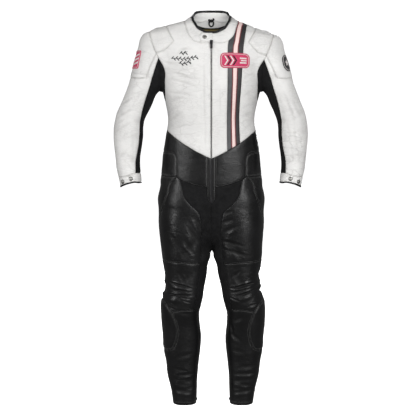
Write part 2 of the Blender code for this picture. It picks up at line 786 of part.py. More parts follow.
def first_crossing(starts, directions, reach):
    """Where each straight line first passes through the form."""
    steps = np.linspace(0, reach, 201)
    samples = starts[:, None, :] + steps[None, :, None] * directions[:, None, :]
    inside = form(samples.reshape(-1, 3)).reshape(len(starts), -1) < 0
    changed = inside[:, 1:] != inside[:, :-1]
    if not changed.any(axis=1).all():
        raise ValueError(f"a line misses the form near {starts[~changed.any(axis=1)][0]}")
    first = changed.argmax(axis=1)
    low, high = steps[first], steps[first + 1]
    began = inside[np.arange(len(starts)), first]
    for _ in range(30):
        middle = (low + high) / 2
        same = (form(starts + middle[:, None] * directions) < 0) == began
        low = np.where(same, middle, low)
        high = np.where(same, high, middle)
    return starts + low[:, None] * directions


def folded(points):
    """How far each point moves along its normal in the folds."""
    side = np.column_stack([np.abs(points[:, 0]), points[:, 1], points[:, 2]])
    moved = np.zeros(len(points))
    for start, end, width, depth in FOLD_ROWS:
        start, end = np.array(start), np.array(end)
        line = end - start
        along = np.clip((side - start) @ line / (line @ line), 0, 1)
        away = np.linalg.norm(side - start - along[:, None] * line, axis=1)
        fade = np.minimum(1, 4 * np.minimum(along, 1 - along) + 0.15)
        moved += depth * fade * np.exp(-((away / width) ** 2))
    return moved


# ---------------------------------------------------------------- seams


def place(kind, *numbers):
    """One point on the form, found the way its kind says."""
    if kind == "near":
        return onto_form(np.array([numbers]))[0]
    first, second = numbers
    if kind == "front":
        start, direction = (first, -0.4, second), (0, 1, 0)
    elif kind == "back":
        start, direction = (first, 0.4, second), (0, -1, 0)
    elif kind == "top":
        start, direction = (first, second, 1.7), (0, 0, -1)
    elif kind == "outer":
        start, direction = (0.6, first, second), (-1, 0, 0)
    elif kind == "sleeve":
        start, direction = (ARM.sides(np.array([second]))[0][0], first, second), (-1, 0, 0)
    else:
        start, direction = (0.0, first, second), (1, 0, 0)
    return first_crossing(np.array([start], float), np.array([direction], float), 0.8)[0]


def smooth_line(knots):
    """Points close together on a smooth curve through the knots."""
    padded = np.vstack([2 * knots[0] - knots[1], knots, 2 * knots[-1] - knots[-2]])
    t = np.linspace(0, 1, 24, endpoint=False)[:, None]
    spans = []
    for before, start, end, after in zip(padded, padded[1:], padded[2:], padded[3:]):
        spans.append(
            0.5
            * (
                2 * start
                + (end - before) * t
                + (2 * before - 5 * start + 4 * end - after) * t**2
                + (3 * start - before - 3 * end + after) * t**3
            )
        )
    return np.vstack(spans + [knots[-1:]])


def even_points(line, step):
    """The line divided into equal lengths near the step."""
    lengths = np.linalg.norm(np.diff(line, axis=0), axis=1)
    run = np.concatenate([[0], np.cumsum(lengths)])
    count = max(1, round(run[-1] / step))
    stops = np.linspace(0, run[-1], count + 1)
    return np.column_stack([np.interp(stops, run, line[:, axis]) for axis in range(3)])


def draw_seams():
    """Every seam as a row of points on the form, the wearer's left side and middle."""
    marks = {name: place(*row) for name, row in LANDMARKS.items()}
    rows = []
    for start, end, step, between in SEAMS.values():
        knots = np.array([marks[start], *[place(*row) for row in between], marks[end]])
        rows.append(even_points(smooth_line(knots), step))
    settled = np.split(onto_form(np.vstack(rows)), np.cumsum([len(row) for row in rows])[:-1])
    seams = {}
    for name, row, points in zip(SEAMS, rows, settled):
        points[[0, -1]] = row[[0, -1]]
        seams[name] = points
    mirrored = {f"{name}~": points * (-1, 1, 1) for name, points in seams.items()}
    zip_top = marks["neck_zip"] * (-1, 1, 1), marks["neck_zip"]
    return {**seams, **mirrored, "zip_top": np.array(zip_top)}


def join_seams(seams, names):
    """The seams run end to end as one closed loop of points."""
    loop = []
    reach = None
    names = names.split()
    for k, name in enumerate(names):
        points = seams[name.lstrip("-")]
        if name.startswith("-"):
            points = points[::-1]
        elif k == 0:
            following = seams[names[1].lstrip("-")]
            ends = following[[0, -1]]
            if np.linalg.norm(ends - points[-1], axis=1).min() > 1e-6:
                points = points[::-1]
        elif np.linalg.norm(points[0] - reach) > 1e-6:
            points = points[::-1]
        if k and np.linalg.norm(points[0] - reach) > 1e-6:
            raise ValueError(f"seam {name} does not follow the one before it")
        loop.extend(points[:-1])
        reach = points[-1]
    if np.linalg.norm(reach - loop[0]) > 1e-6:
        raise ValueError(f"the loop of {names} stays open")
    return np.array(loop)


# ---------------------------------------------------------------- flattening


class Tube:
    """Flattens the surface round one limb: turn across, length along it upwards."""

    def __init__(self, sections, radius):
        self.sections = sections
        self.radius = radius
        self.heights = np.linspace(sections.heights[0] - 0.1, sections.heights[-1] + 0.1, 900)
        outer = sections.read(self.heights)[:, 1]
        run = np.hypot(np.diff(self.heights), np.diff(outer))
        self.lengths = np.concatenate([[0], np.cumsum(run)])

    def centre(self, z):
        centre_x, _, centre_y, _ = self.sections.sides(z)
        return np.column_stack([centre_x, centre_y])

    def flatten(self, loop):
        """The loop of points in the flat, with the turn followed continuously."""
        away = loop[:, :2] - self.centre(loop[:, 2])
        angles = np.unwrap(np.arctan2(away[:, 1], away[:, 0]))
        return np.column_stack(
            [angles * self.radius, np.interp(loop[:, 2], self.heights, self.lengths)]
        )

    def raise_points(self, flat):
        """Flat points back on the form."""
        angles = flat[:, 0] / self.radius
        z = np.interp(flat[:, 1], self.lengths, self.heights)
        starts = np.column_stack([self.centre(z), z])
        directions = np.column_stack([np.cos(angles), np.sin(angles), np.zeros(len(flat))])
        return first_crossing(starts, directions, 0.45)


class View:
    """Flattens a small piece seen from one side, as a patch is cut."""

    def __init__(self, azimuth):
        turn = math.radians(azimuth)
        self.toward = -np.array([math.cos(turn), math.sin(turn), 0.0])
        self.across = np.array([-math.sin(turn), math.cos(turn), 0.0])

    def raise_points(self, flat):
        starts = flat[:, :1] * self.across - 0.5 * self.toward
        starts[:, 2] = flat[:, 1]
        return first_crossing(starts, np.tile(self.toward, (len(flat), 1)), 0.6)


def area_of(flat):
    following = np.roll(flat, -1, axis=0)
    return ((flat[:, 0] * following[:, 1] - following[:, 0] * flat[:, 1]).sum()) / 2


def away_from(points, loop):
    """Distance of each flat point from the loop, negative outside it."""
    starts = loop
    lines = np.roll(loop, -1, axis=0) - starts
    offset = points[:, None, :] - starts[None]
    along = np.clip((offset * lines).sum(axis=2) / (lines**2).sum(axis=1), 0, 1)
    nearest = np.linalg.norm(offset - along[..., None] * lines, axis=2).min(axis=1)
    above = points[:, None, 1] < np.roll(starts[:, 1], -1)[None]
    crosses = (points[:, None, 1] < starts[None, :, 1]) != above
    rise = np.where(lines[:, 1] == 0, 1e-12, lines[:, 1])
    reach = starts[:, 0] + (points[:, None, 1] - starts[:, 1]) * lines[:, 0] / rise
    inside = (crosses & (points[:, None, 0] < reach)).sum(axis=1) % 2 == 1
    return np.where(inside, nearest, -nearest)


def inner_lattice(loop, step, margin):
    """Staggered rows of flat points inside the loop."""
    low, high = loop.min(axis=0), loop.max(axis=0)
    rows = np.arange(low[1] + step / 2, high[1], step * 0.88)
    points = []
    for k, v in enumerate(rows):
        across = np.arange(low[0] + step * (0.25 + 0.5 * (k % 2)), high[0], step)
        points.extend((u, v) for u in across)
    if not points:
        return np.empty((0, 2))
    points = np.array(points)
    return points[away_from(points, loop) > margin]


def moved_in(loop, distance):
    """The flat loop moved inwards by a distance, mitred at its corners."""
    before = loop - np.roll(loop, 1, axis=0)
    after = np.roll(loop, -1, axis=0) - loop
    before /= np.linalg.norm(before, axis=1, keepdims=True)
    after /= np.linalg.norm(after, axis=1, keepdims=True)
    inward = np.column_stack([-(before + after)[:, 1], (before + after)[:, 0]])
    length = np.maximum((inward**2).sum(axis=1) / 2, 0.35)
    return loop + distance * inward / length[:, None]


def triangles(loop, inner):
    """Triangles over the flat loop and the points inside it."""
    flat = [Vector(p) for p in np.vstack([loop, inner])]
    face = list(range(len(loop)))
    found = delaunay_2d_cdt(flat, [], [face], 1, 1e-7)
    origins = [ids[0] for ids in found[3]]
    return [[origins[k] for k in triangle] for triangle in found[2]]


# ---------------------------------------------------------------- making solids


def finish_of(name):
    material = bpy.data.materials.get(name)
    if material:
        return material
    colour, roughness, metallic = FINISHES[name]
    material = bpy.data.materials.new(name)
    material.use_nodes = True
    shader = material.node_tree.nodes["Principled BSDF"]
    shader.inputs["Base Color"].default_value = (*colour, 1)
    shader.inputs["Roughness"].default_value = roughness
    shader.inputs["Metallic"].default_value = metallic
    material.diffuse_color = (*colour, 1)
    return material


def add_object(name, mesh, finish):
    obj = bpy.data.objects.new(name, mesh)
    mesh.materials.clear()
    mesh.materials.append(finish_of(finish))
    bpy.data.collections[SUIT].objects.link(obj)
    obj.parent = bpy.data.objects["suit_frame"]
    return obj


def seam_allowance(points, normals, count):
    """Moves the first count points, a closed loop, half a seam gap into the panel."""
    loop, up = points[:count], normals[:count]
    before = loop - np.roll(loop, 1, axis=0)
    after = np.roll(loop, -1, axis=0) - loop
    before /= np.linalg.norm(before, axis=1, keepdims=True)
    after /= np.linalg.norm(after, axis=1, keepdims=True)
    inward = np.cross(up, before) + np.cross(up, after)
    length = np.maximum((inward**2).sum(axis=1) / 2, 0.30)
    points[:count] = loop + SEAM_GAP / 2 * inward / length[:, None]


def rim_faces(k, following, size, loop):
    """Two faces of the wall's rim, split the same way on both sides of a seam."""
    if tuple(loop[k].round(6)) < tuple(loop[following].round(6)):
        return [(following, k, following + size), (k, k + size, following + size)]
    return [(following, k, k + size), (following, k + size, following + size)]


def surface_below():
    """The outside of everything sewn so far, for laying a piece on it."""
    points, faces = [], []
    for obj in bpy.data.collections[SUIT].objects:
        if obj.type == "MESH":
            first = len(points)
            points += [vertex.co.copy() for vertex in obj.data.vertices]
            faces += [[first + k for k in face.vertices] for face in obj.data.polygons]
    return BVHTree.FromPolygons(points, faces)


def heights_over(points, normals, below):
    """How far the sewn surface lies outside the form round each point, at its highest."""
    reach = 0.02
    heights = np.full(len(points), -reach)
    for k, (point, normal) in enumerate(zip(points, normals)):
        across = np.cross(normal, (0, 0, 1))
        along = np.cross(normal, across)
        for ring in (0.0, 0.35, 0.7, 1.0):
            for turn in np.radians(range(0, 360, 45)):
                aside = ring * PATCH_REACH * (math.cos(turn) * across + math.sin(turn) * along)
                start = Vector(point + aside + reach * normal)
                hit = below.ray_cast(start, Vector(-normal), 2 * reach)
                if hit[0] is not None:
                    heights[k] = max(heights[k], reach - hit[3])
    return heights


def wall(
    name,
    flattener,
    loop_flat,
    loop,
    grain,
    finish,
    thickness=LEATHER,
    base=None,
    rise=0.0,
    below=None,
):
    """A thin closed wall over a loop of seams.

    base is how far its inner face lies outside the form, or outside the surface below it;
    rise lifts the middle of a pad.
    """
    base = -thickness if base is None else base
    if area_of(loop_flat) < 0:
        loop_flat, loop = loop_flat[::-1], loop[::-1]
    count = len(loop)
    across, along = PANEL_STEPS[grain]
    squeeze = np.array([1, across / along])
    loop_flat = loop_flat * squeeze
    if rise:
        ring = moved_in(loop_flat, PAD_BEVEL)
        ring = ring[away_from(ring, loop_flat) > 0.8 * PAD_BEVEL]
        inner = np.vstack([ring, inner_lattice(loop_flat, across, PAD_BEVEL + 0.5 * across)])
    else:
        inner = inner_lattice(loop_flat, across, 0.55 * across)
    faces = triangles(loop_flat, inner)
    points = loop
    if len(inner):
        points = np.vstack([loop, flattener.raise_points(inner / squeeze)])
    normals = outward(points)
    points = points + normals * folded(points)[:, None]
    seam_allowance(points, normals, count)
    if below:
        base = heights_over(points, normals, below) + base
    base = np.broadcast_to(base, len(points))[:, None]
    lift = np.full((len(points), 1), thickness)
    lift[count:] += rise
    outer = points + normals * (base + lift)
    lining = points + normals * base
    mesh = bpy.data.meshes.new(name)
    size = len(points)
    solid = [tuple(face) for face in faces]
    solid += [tuple(k + size for k in reversed(face)) for face in faces]
    for k in range(count):
        solid += rim_faces(k, (k + 1) % count, size, loop)
    mesh.from_pydata(np.vstack([outer, lining]).tolist(), [], solid)
    mesh.validate()
    return add_object(name, mesh, finish)


def mirrored_copy(obj, name):
    """The same piece on the wearer's other side."""
    mesh = obj.data.copy()
    mesh.name = name
    mesh.transform(Matrix.Scale(-1, 4, (1, 0, 0)))
    mesh.flip_normals()
    return add_object(name, mesh, mesh.materials[0].name)


def panel(name, row, seams, rise=0.0):
    limb, names, grain, finish = row
    loop = join_seams(seams, names)
    tube = TUBES[limb]
    return wall(name, tube, tube.flatten(loop), loop, grain, finish, rise=rise)


TUBES = {"torso": Tube(TORSO, 0.150), "arm": Tube(ARM, 0.066), "leg": Tube(LEG, 0.092)}


def sew_panels(seams):
    """Every panel and pad of leather or stretch cloth."""
    for rows, rise in ((SIDE_PANELS, 0.0), (SIDE_PADS, PAD_RISE)):
        for name, row in rows.items():
            left = panel(f"{name}_L", row, seams, rise)
            mirrored_copy(left, f"{name}_R")
    for name, row in LEFT_PANELS.items():
        panel(f"{name}_L", row, seams)
    for name, row in RIGHT_PANELS.items():
        left = panel(f"{name}_pattern", row, seams)
        mirrored_copy(left, f"{name}_R")
        bpy.data.objects.remove(left)
    for name, row in MIDDLE_PANELS.items():
        panel(name, row, seams)


def rounded_outline(width, tall, corner, step):
    """A flat rectangle with round corners about its middle, from its lower right corner up."""
    points = []
    for quarter in range(4):
        start = math.radians(90 * quarter - 90)
        sign_u = 1 if quarter in (0, 1) else -1
        sign_v = 1 if quarter in (1, 2) else -1
        middle = (sign_u * (width / 2 - corner), sign_v * (tall / 2 - corner))
        for part in range(4):
            turn = start + math.radians(30 * part)
            points.append(
                (middle[0] + corner * math.cos(turn), middle[1] + corner * math.sin(turn))
            )
    points = np.array(points)
    closed = np.column_stack([np.vstack([points, points[:1]]), np.zeros(len(points) + 1)])
    return even_points(closed, step)[:-1, :2]


def sew_patches():
    """The flat patches, laid on the front and sleeves."""
    below = surface_below()
    for name, (azimuth, across, height, width, tall, corner, finish) in PATCHES.items():
        view = View(azimuth)
        flat = rounded_outline(width, tall, corner, PATCH_STEP) + (across, height)
        loop = view.raise_points(flat)
        wall(name, view, flat, loop, "patch", finish, PATCH_CLOTH, base=PATCH_GAP, below=below)


def sew_lining():
    """The dark lining at the back of the neck, which lies inside the collar and back."""
    right = [place("back", x, z) * (-1, 1, 1) for x, z in LINING_TOP[:0:-1]]
    top = right + [place("back", x, z) for x, z in LINING_TOP]
    low = [place("back", x, z) for x, z in LINING_LOW]
    low += [place("back", x, z) * (-1, 1, 1) for x, z in LINING_LOW[-2::-1]]
    ends = np.array(top[-1:] + low + top[:1])
    low_line = even_points(smooth_line(ends), SEAM_STEP)
    top_line = even_points(smooth_line(np.array(top)), SEAM_STEP)
    loop = onto_form(np.vstack([top_line[:-1], low_line[:-1]]))
    tube = TUBES["torso"]
    base = -(LEATHER + LINING_GAP + LINING_CLOTH)
    wall(
        "neck_lining",
        tube,
        tube.flatten(loop),
        loop,
        "plain",
        "lining_cloth",
        LINING_CLOTH,
        base=base,
    )


def sew_binding(name, edge, away, radius):
    """A round binding along an open edge; away is the side of the edge it lies on."""
    normals = outward(edge)
    along = np.roll(edge, -1, axis=0) - np.roll(edge, 1, axis=0)
    along /= np.linalg.norm(along, axis=1, keepdims=True)
    beyond = np.cross(normals, along) * away
    path = edge - normals * LEATHER / 2 + beyond * (radius + SEAM_GAP)
    return add_object(name, wire(name, path, radius, True), "binding")


def bind_edges(seams):
    half = np.vstack([seams["collar_a"][:-1], seams["collar_b"]])
    collar_edge = np.vstack([half, (half * (-1, 1, 1))[-2:0:-1]])
    sew_binding("collar_binding", collar_edge, 1, COLLAR_BINDING)
    left = sew_binding("cuff_binding_L", seams["cuff_bottom"][:-1], -1, CUFF_BINDING)
    mirrored_copy(left, "cuff_binding_R")


def frame_at(point, normal):
    """A matrix at the point with Z along the normal and Y up the cloth."""
    out = Vector(normal).normalized()
    across = Vector((0, 0, 1)).cross(out).normalized()
    up = out.cross(across)
    turn = Matrix((across, up, out)).transposed().to_4x4()
    return Matrix.Translation(Vector(point)) @ turn


def press_snaps():
    for name, (kind, x, height) in SNAPS.items():
        point = place(kind, abs(x), height)
        normal = outward(point[None])[0]
        if x < 0:
            point = point * (-1, 1, 1)
            normal = normal * (-1, 1, 1)
        bm = bmesh.new()
        bmesh.ops.create_cone(
            bm,
            cap_ends=True,
            segments=16,
            radius1=SNAP_RADIUS,
            radius2=SNAP_RADIUS * 0.72,
            depth=SNAP_HEIGHT,
        )
        lift = PATCH_GAP + SNAP_HEIGHT / 2
        bm.transform(frame_at(point + normal * lift, normal))
        mesh = bpy.data.meshes.new(name)
        bm.to_mesh(mesh)
        bm.free()
        add_object(name, mesh, "dark_metal")


def solid_from_curve(curve):
    """The curve's solid as a mesh, with its caps welded on."""
    source = bpy.data.objects.new(curve.name, curve)
    bpy.context.scene.collection.objects.link(source)
    graph = bpy.context.evaluated_depsgraph_get()
    mesh = bpy.data.meshes.new_from_object(source.evaluated_get(graph))
    bpy.data.objects.remove(source)
    bm = bmesh.new()
    bm.from_mesh(mesh)
    bmesh.ops.remove_doubles(bm, verts=bm.verts, dist=1e-6)
    bmesh.ops.recalc_face_normals(bm, faces=bm.faces)
    bm.to_mesh(mesh)
    bm.free()
    return mesh


def wire(name, path, radius, closed):
    """A round wire or cord along a path."""
    curve = bpy.data.curves.new(name, "CURVE")
    curve.dimensions = "3D"
    curve.bevel_depth = radius
    curve.bevel_resolution = 1
    curve.use_fill_caps = not closed
    spline = curve.splines.new("POLY")
    spline.points.add(len(path) - 1)
    for point, co in zip(spline.points, path):
        point.co = (*co, 1)
    spline.use_cyclic_u = closed
    return solid_from_curve(curve)


def plate(name, outlines, thickness):
    """A flat plate: the first outline is its edge and the others are holes."""
    curve = bpy.data.curves.new(name, "CURVE")
    curve.dimensions = "2D"
    curve.fill_mode = "BOTH"
    curve.extrude = thickness / 2
    for outline in outlines:
        spline = curve.splines.new("POLY")
        spline.points.add(len(outline) - 1)
        for point, co in zip(spline.points, outline):
            point.co = (*co, 0, 1)
        spline.use_cyclic_u = True
    return solid_from_curve(curve)


def fit_zip_slider():
    """The slider with its bail, and the pull that hangs in the bail on its own pivot."""
    point = place("front", 0.0, SLIDER_HEIGHT)
    frame = frame_at(point, outward(point[None])[0])
    width, length, depth = SLIDER_SIZE
    face = SLIDER_GAP + depth
    bm = bmesh.new()
    bmesh.ops.create_cube(bm, size=1)
    bmesh.ops.scale(bm, vec=SLIDER_SIZE, verts=bm.verts)
    bmesh.ops.bevel(bm, geom=bm.edges[:], offset=SLIDER_BEVEL, segments=2, affect="EDGES")
    bm.transform(frame @ Matrix.Translation((0, 0, SLIDER_GAP + depth / 2)))
    mesh = bpy.data.meshes.new("zip_slider")
    bm.to_mesh(mesh)
    bm.free()
    slider = add_object("zip_slider", mesh, "dark_metal")
    turns = np.linspace(0, math.pi, 13)
    arc = [
        (0, PIVOT_UP + BAIL_RADIUS * math.cos(turn), face + BAIL_RADIUS * math.sin(turn))
        for turn in turns
    ]
    feet = [(0, arc[k][1], face - BAIL_SINK) for k in (0, -1)]
    bail_mesh = wire("zip_bail", [feet[0], *arc, feet[1]], BAIL_WIRE, False)
    bail_mesh.transform(frame)
    bail = bpy.data.objects.new("zip_bail", bail_mesh)
    bail.hide_render = True
    bail.display_type = "WIRE"
    bail.parent = bpy.data.objects["suit_frame"]
    bpy.data.collections["cutters"].objects.link(bail)
    join = slider.modifiers.new("bail", "BOOLEAN")
    join.operation = "UNION"
    join.object = bail

    pivot = frame @ Vector((0, PIVOT_UP, face + PIVOT_OUT))
    half, slim = PULL_WIDTH / 2, PULL_WIDTH * 0.36
    edge = [(-slim, PULL_BAR), (slim, PULL_BAR), (half, -0.0070), (half, -PULL_LENGTH + 0.0030)]
    edge += [(slim, -PULL_LENGTH), (-slim, -PULL_LENGTH), (-half, -PULL_LENGTH + 0.0030)]
    edge += [(-half, -0.0070)]
    hole_width, hole_length = PULL_HOLE
    low = -PULL_BAR - hole_length
    hole = [(-hole_width / 2, -PULL_BAR), (hole_width / 2, -PULL_BAR)]
    hole += [(hole_width / 2, low), (-hole_width / 2, low)]
    mesh = plate("zip_pull", [edge, hole], PULL_THICKNESS)
    turn = frame.to_3x3().to_4x4()
    mesh.transform(turn)
    pull = add_object("zip_pull", mesh, "dark_metal")
    pull.location = pivot


def sew_hanger_loop():
    across, tall = LOOP_SIZE
    turns = np.linspace(0, 2 * math.pi, LOOP_POINTS, endpoint=False)
    points = np.array(
        [place("back", across * math.cos(t), LOOP_HEIGHT + tall * math.sin(t)) for t in turns]
    )
    inward = LEATHER + LINING_GAP + LOOP_CORD
    path = points - outward(points) * inward
    add_object("hanger_loop", wire("hanger_loop", path, LOOP_CORD, True), "binding")


def smooth_step(low, high, values):
    t = np.clip((values - low) / (high - low), 0, 1)
    return t * t * (3 - 2 * t)


def stance(points):
    """The worn suit's small unevenness: legs to its left, left shoulder lower, left cuff in."""
    x, z = points[:, 0], points[:, 2]
    heights, sways = np.array(SWAY_ROWS).T
    moved = points.copy()
    moved[:, 0] += np.interp(z, heights, sways)
    moved[:, 0] -= FOREARM_SHIFT * smooth_step(0.20, 0.25, x) * smooth_step(1.20, 1.02, z)
    moved[:, 2] -= SHOULDER_DROP * smooth_step(0.09, 0.20, x) * smooth_step(1.24, 1.38, z)
    return moved


def take_stance():
    """Settles every piece of cloth, with its snaps; the zip hardware is on the still middle."""
    for obj in bpy.data.collections[SUIT].objects:
        if obj.type == "MESH" and obj.name not in ("zip_slider", "zip_pull"):
            points = np.array([vertex.co for vertex in obj.data.vertices])
            obj.data.vertices.foreach_set("co", stance(points).ravel())
            obj.data.update()


def main():
    for obj in list(bpy.data.objects):
        bpy.data.objects.remove(obj)
    for name in (SUIT, "cutters"):
        bpy.context.scene.collection.children.link(bpy.data.collections.new(name))
    frame = bpy.data.objects.new("suit_frame", None)
    frame.location = (0, 0, -HOLD_HEIGHT)
    bpy.data.collections[SUIT].objects.link(frame)
    seams = draw_seams()
    sew_panels(seams)
    sew_patches()
    sew_lining()
    bind_edges(seams)
    press_snaps()
    fit_zip_slider()
    sew_hanger_loop()
    take_stance()
    bpy.context.view_layer.update()


main()
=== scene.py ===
"""The one-piece motorcycle race suit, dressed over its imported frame.

Every panel is cut again from the same landmarks and seams as the solids, at sewing detail: soft
seam grooves, raised pads, creases, top stitching, zip teeth, bindings, snaps and patches.
Heights in the tables are measured up from the trouser hem; HOLD_HEIGHT takes them to the frame.
"""

import math

import bpy
import numpy as np
from mathutils import Matrix, Vector, noise
from mathutils.bvhtree import BVHTree
from mathutils.geometry import delaunay_2d_cdt
from mathutils.kdtree import KDTree


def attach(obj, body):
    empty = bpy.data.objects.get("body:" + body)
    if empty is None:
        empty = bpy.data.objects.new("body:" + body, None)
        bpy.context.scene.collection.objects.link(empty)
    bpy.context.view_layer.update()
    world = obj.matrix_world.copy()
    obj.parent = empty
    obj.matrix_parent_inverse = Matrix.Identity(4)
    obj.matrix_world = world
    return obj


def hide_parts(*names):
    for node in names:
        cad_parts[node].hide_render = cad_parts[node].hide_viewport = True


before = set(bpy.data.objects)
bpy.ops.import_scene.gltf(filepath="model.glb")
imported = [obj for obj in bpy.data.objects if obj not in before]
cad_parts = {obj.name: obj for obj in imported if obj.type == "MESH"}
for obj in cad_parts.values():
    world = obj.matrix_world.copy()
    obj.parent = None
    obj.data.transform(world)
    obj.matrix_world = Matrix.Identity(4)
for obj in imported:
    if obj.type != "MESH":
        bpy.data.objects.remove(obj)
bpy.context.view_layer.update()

HOLD_HEIGHT = 1.430
SUIT_BODY = "suit"

# Cloth and sewing
LEATHER = 0.0022
LINING_CLOTH = 0.0012
SEAM_GAP = 0.0003
LINING_GAP = 0.0010
BLEND = 0.030
SECTION_POWER = 2.3
LOOP_STEP = 0.0065
GRAIN = 0.0070
FINE_GRAIN = {"knee": 0.0028, "thigh_front": 0.0052, "shin": 0.0056, "front": 0.0060}
RINGS = (0.0020, 0.0048)
GROOVE_DEPTH = 0.0012
GROOVE_WIDTH = 0.0026
PAD_RISE = 0.0030
PAD_BEVEL = 0.011
CHANNEL_DEPTH = 0.0010
CHANNEL_WIDTH = 0.0024
# How dark the painted shade makes seam grooves, on most leather and on white, how far it reaches
# from the seam, and the crease depth that gives full shade
SEAM_SHADE = 0.75
PALE_SEAM_SHADE = 0.30
SEAM_SHADE_WIDTH = 0.0013
CREASE_SHADE = 0.0030

MIRROR = (-1, 1, 1)


def words(text):
    return [row.split() for row in text.strip().splitlines()]


def table(text):
    """Rows of whole tenths of a millimetre, in metres."""
    return [tuple(int(number) / 10000 for number in row) for row in words(text)]


def found_at(row):
    """How a place is found on the form, then its coordinates, from tenths of a millimetre."""
    return (row[0], *[int(number) / 10000 for number in row[1:]])


# The tables below that are written as text hold tenths of a millimetre
TORSO_COLUMNS = ("height", "outer", "front", "back")
LIMB_COLUMNS = ("height", "inner", "outer", "front", "back")
# Body form, as horizontal sections
TORSO_ROWS = table(
    """
    15100 600 -400 680
    14900 670 -470 700
    14760 725 -530 730
    14680 868 -565 755
    14600 1002 -600 780
    14525 1279 -645 810
    14450 1583 -690 840
    14375 1840 -725 865
    14300 2030 -760 890
    14225 2260 -795 915
    14150 2470 -830 940
    14000 2620 -910 990
    13900 2667 -955 1025
    13800 2672 -1000 1060
    13500 2430 -1100 1140
    13200 2180 -1180 1200
    12800 1980 -1250 1240
    12300 1870 -1290 1260
    11900 1820 -1280 1230
    11460 1715 -1240 1170
    10860 1623 -1160 1070
    10250 1720 -1120 1040
    9650 1816 -1120 1130
    9040 1875 -1130 1260
    8430 1930 -1130 1350
    7820 1880 -1090 1340
    7210 1600 -990 1200
    6600 1050 -780 850
    6300 600 -520 520
    6120 200 -200 200
    """
)
ARM_ROWS = table(
    """
    13850 1650 2460 -460 510
    13700 1550 2593 -600 660
    13520 1530 2731 -720 770
    13260 1550 2810 -780 820
    12660 1690 2984 -820 860
    12060 1940 3166 -800 830
    11760 2105 3281 -760 790
    11460 2224 3412 -720 740
    11160 2377 3555 -690 700
    10860 2515 3630 -670 660
    10550 2568 3683 -670 620
    10250 2575 3685 -690 550
    9950 2609 3668 -720 460
    9350 2680 3597 -790 280
    9040 2671 3561 -840 160
    8740 2635 3490 -880 40
    8430 2600 3420 -930 -60
    8000 2590 3380 -980 -140
    """
)
LEG_ROWS = table(
    """
    8500 400 1600 -800 950
    8000 120 1930 -1030 1280
    7500 40 1975 -1080 1300
    7000 30 1985 -1090 1220
    6600 40 1950 -1080 1120
    6000 110 1900 -1030 990
    5520 150 1860 -980 890
    5060 205 1800 -930 800
    4450 325 1800 -920 700
    4130 375 1900 -940 660
    3830 440 1935 -900 660
    3520 515 1935 -830 670
    3200 515 1925 -770 700
    2580 460 1875 -690 750
    1960 499 1855 -650 750
    1650 538 1795 -620 700
    1020 597 1713 -580 580
    500 612 1590 -560 510
    0 630 1520 -550 480
    -400 640 1500 -550 470
    """
)

# Landmarks: how the point is found on the form, then its two coordinates.
#   front, back: x and height      outer, side, inside, sleeve: y and height      top: x and y
LANDMARKS = {
    row[0]: found_at(row[1:])
    for row in words(
        """
    neck_zip front 21 13770
    neck_tab front 400 13735
    neck_stripe front 635 13810
    neck_shoulder top 990 -40
    neck_back back 0 14620
    collar_front front 0 14085
    collar_tab front 340 14150
    collar_back back 0 14905
    ridge_stripe_2 top 1140 -20
    ridge_stripe_3 top 1290 -10
    ridge_pad top 1690 20
    pad_tip_front front 1383 13827
    pad_low_front front 1704 13480
    pad_arm_front front 2045 13340
    pad_tip_back back 1383 13827
    pad_low_back back 1704 13480
    pad_arm_back back 2045 13340
    tip_front front 1955 13180
    tip_back back 1955 13180
    under_side side 40 11500
    waist_side side 40 10520
    waist_back back 0 10360
    v_stripe_3 front 1075 10030
    v_stripe_2 front 915 9935
    v_stripe_1 front 762 9845
    v_stripe_0 front 593 9745
    v_placket front 156 9525
    v_zip front 21 9475
    v_middle front 0 9465
    placket_side front 150 8395
    placket_low front 149 7993
    placket_end front 0 7806
    crotch_tip front 1163 8664
    crotch_back back 0 7200
    seat_middle back 0 8580
    hip_side side 60 9690
    hip_front_top front 1446 9668
    hip_front_low front 1300 8776
    hip_back_top back 1500 9668
    hip_back_low back 1420 8776
    hip_end outer 60 6840
    thigh_in front 426 5490
    thigh_side outer 40 5646
    knee_side outer 40 4450
    slider_top outer 20 4160
    slider_knee front 1513 3650
    slider_low outer 60 2120
    knee_in_front front 700 3715
    knee_in inside 0 3715
    knee_in_back back 760 3715
    knee_back_in back 640 4400
    hem_side outer 0 0
    hem_in inside 0 0
    arm_low_front front 2415 12436
    arm_low_back back 2415 12436
    wrist_front sleeve -780 8900
    wrist_back sleeve -80 8880
    cuff_back sleeve -160 8570
    """
    )
}

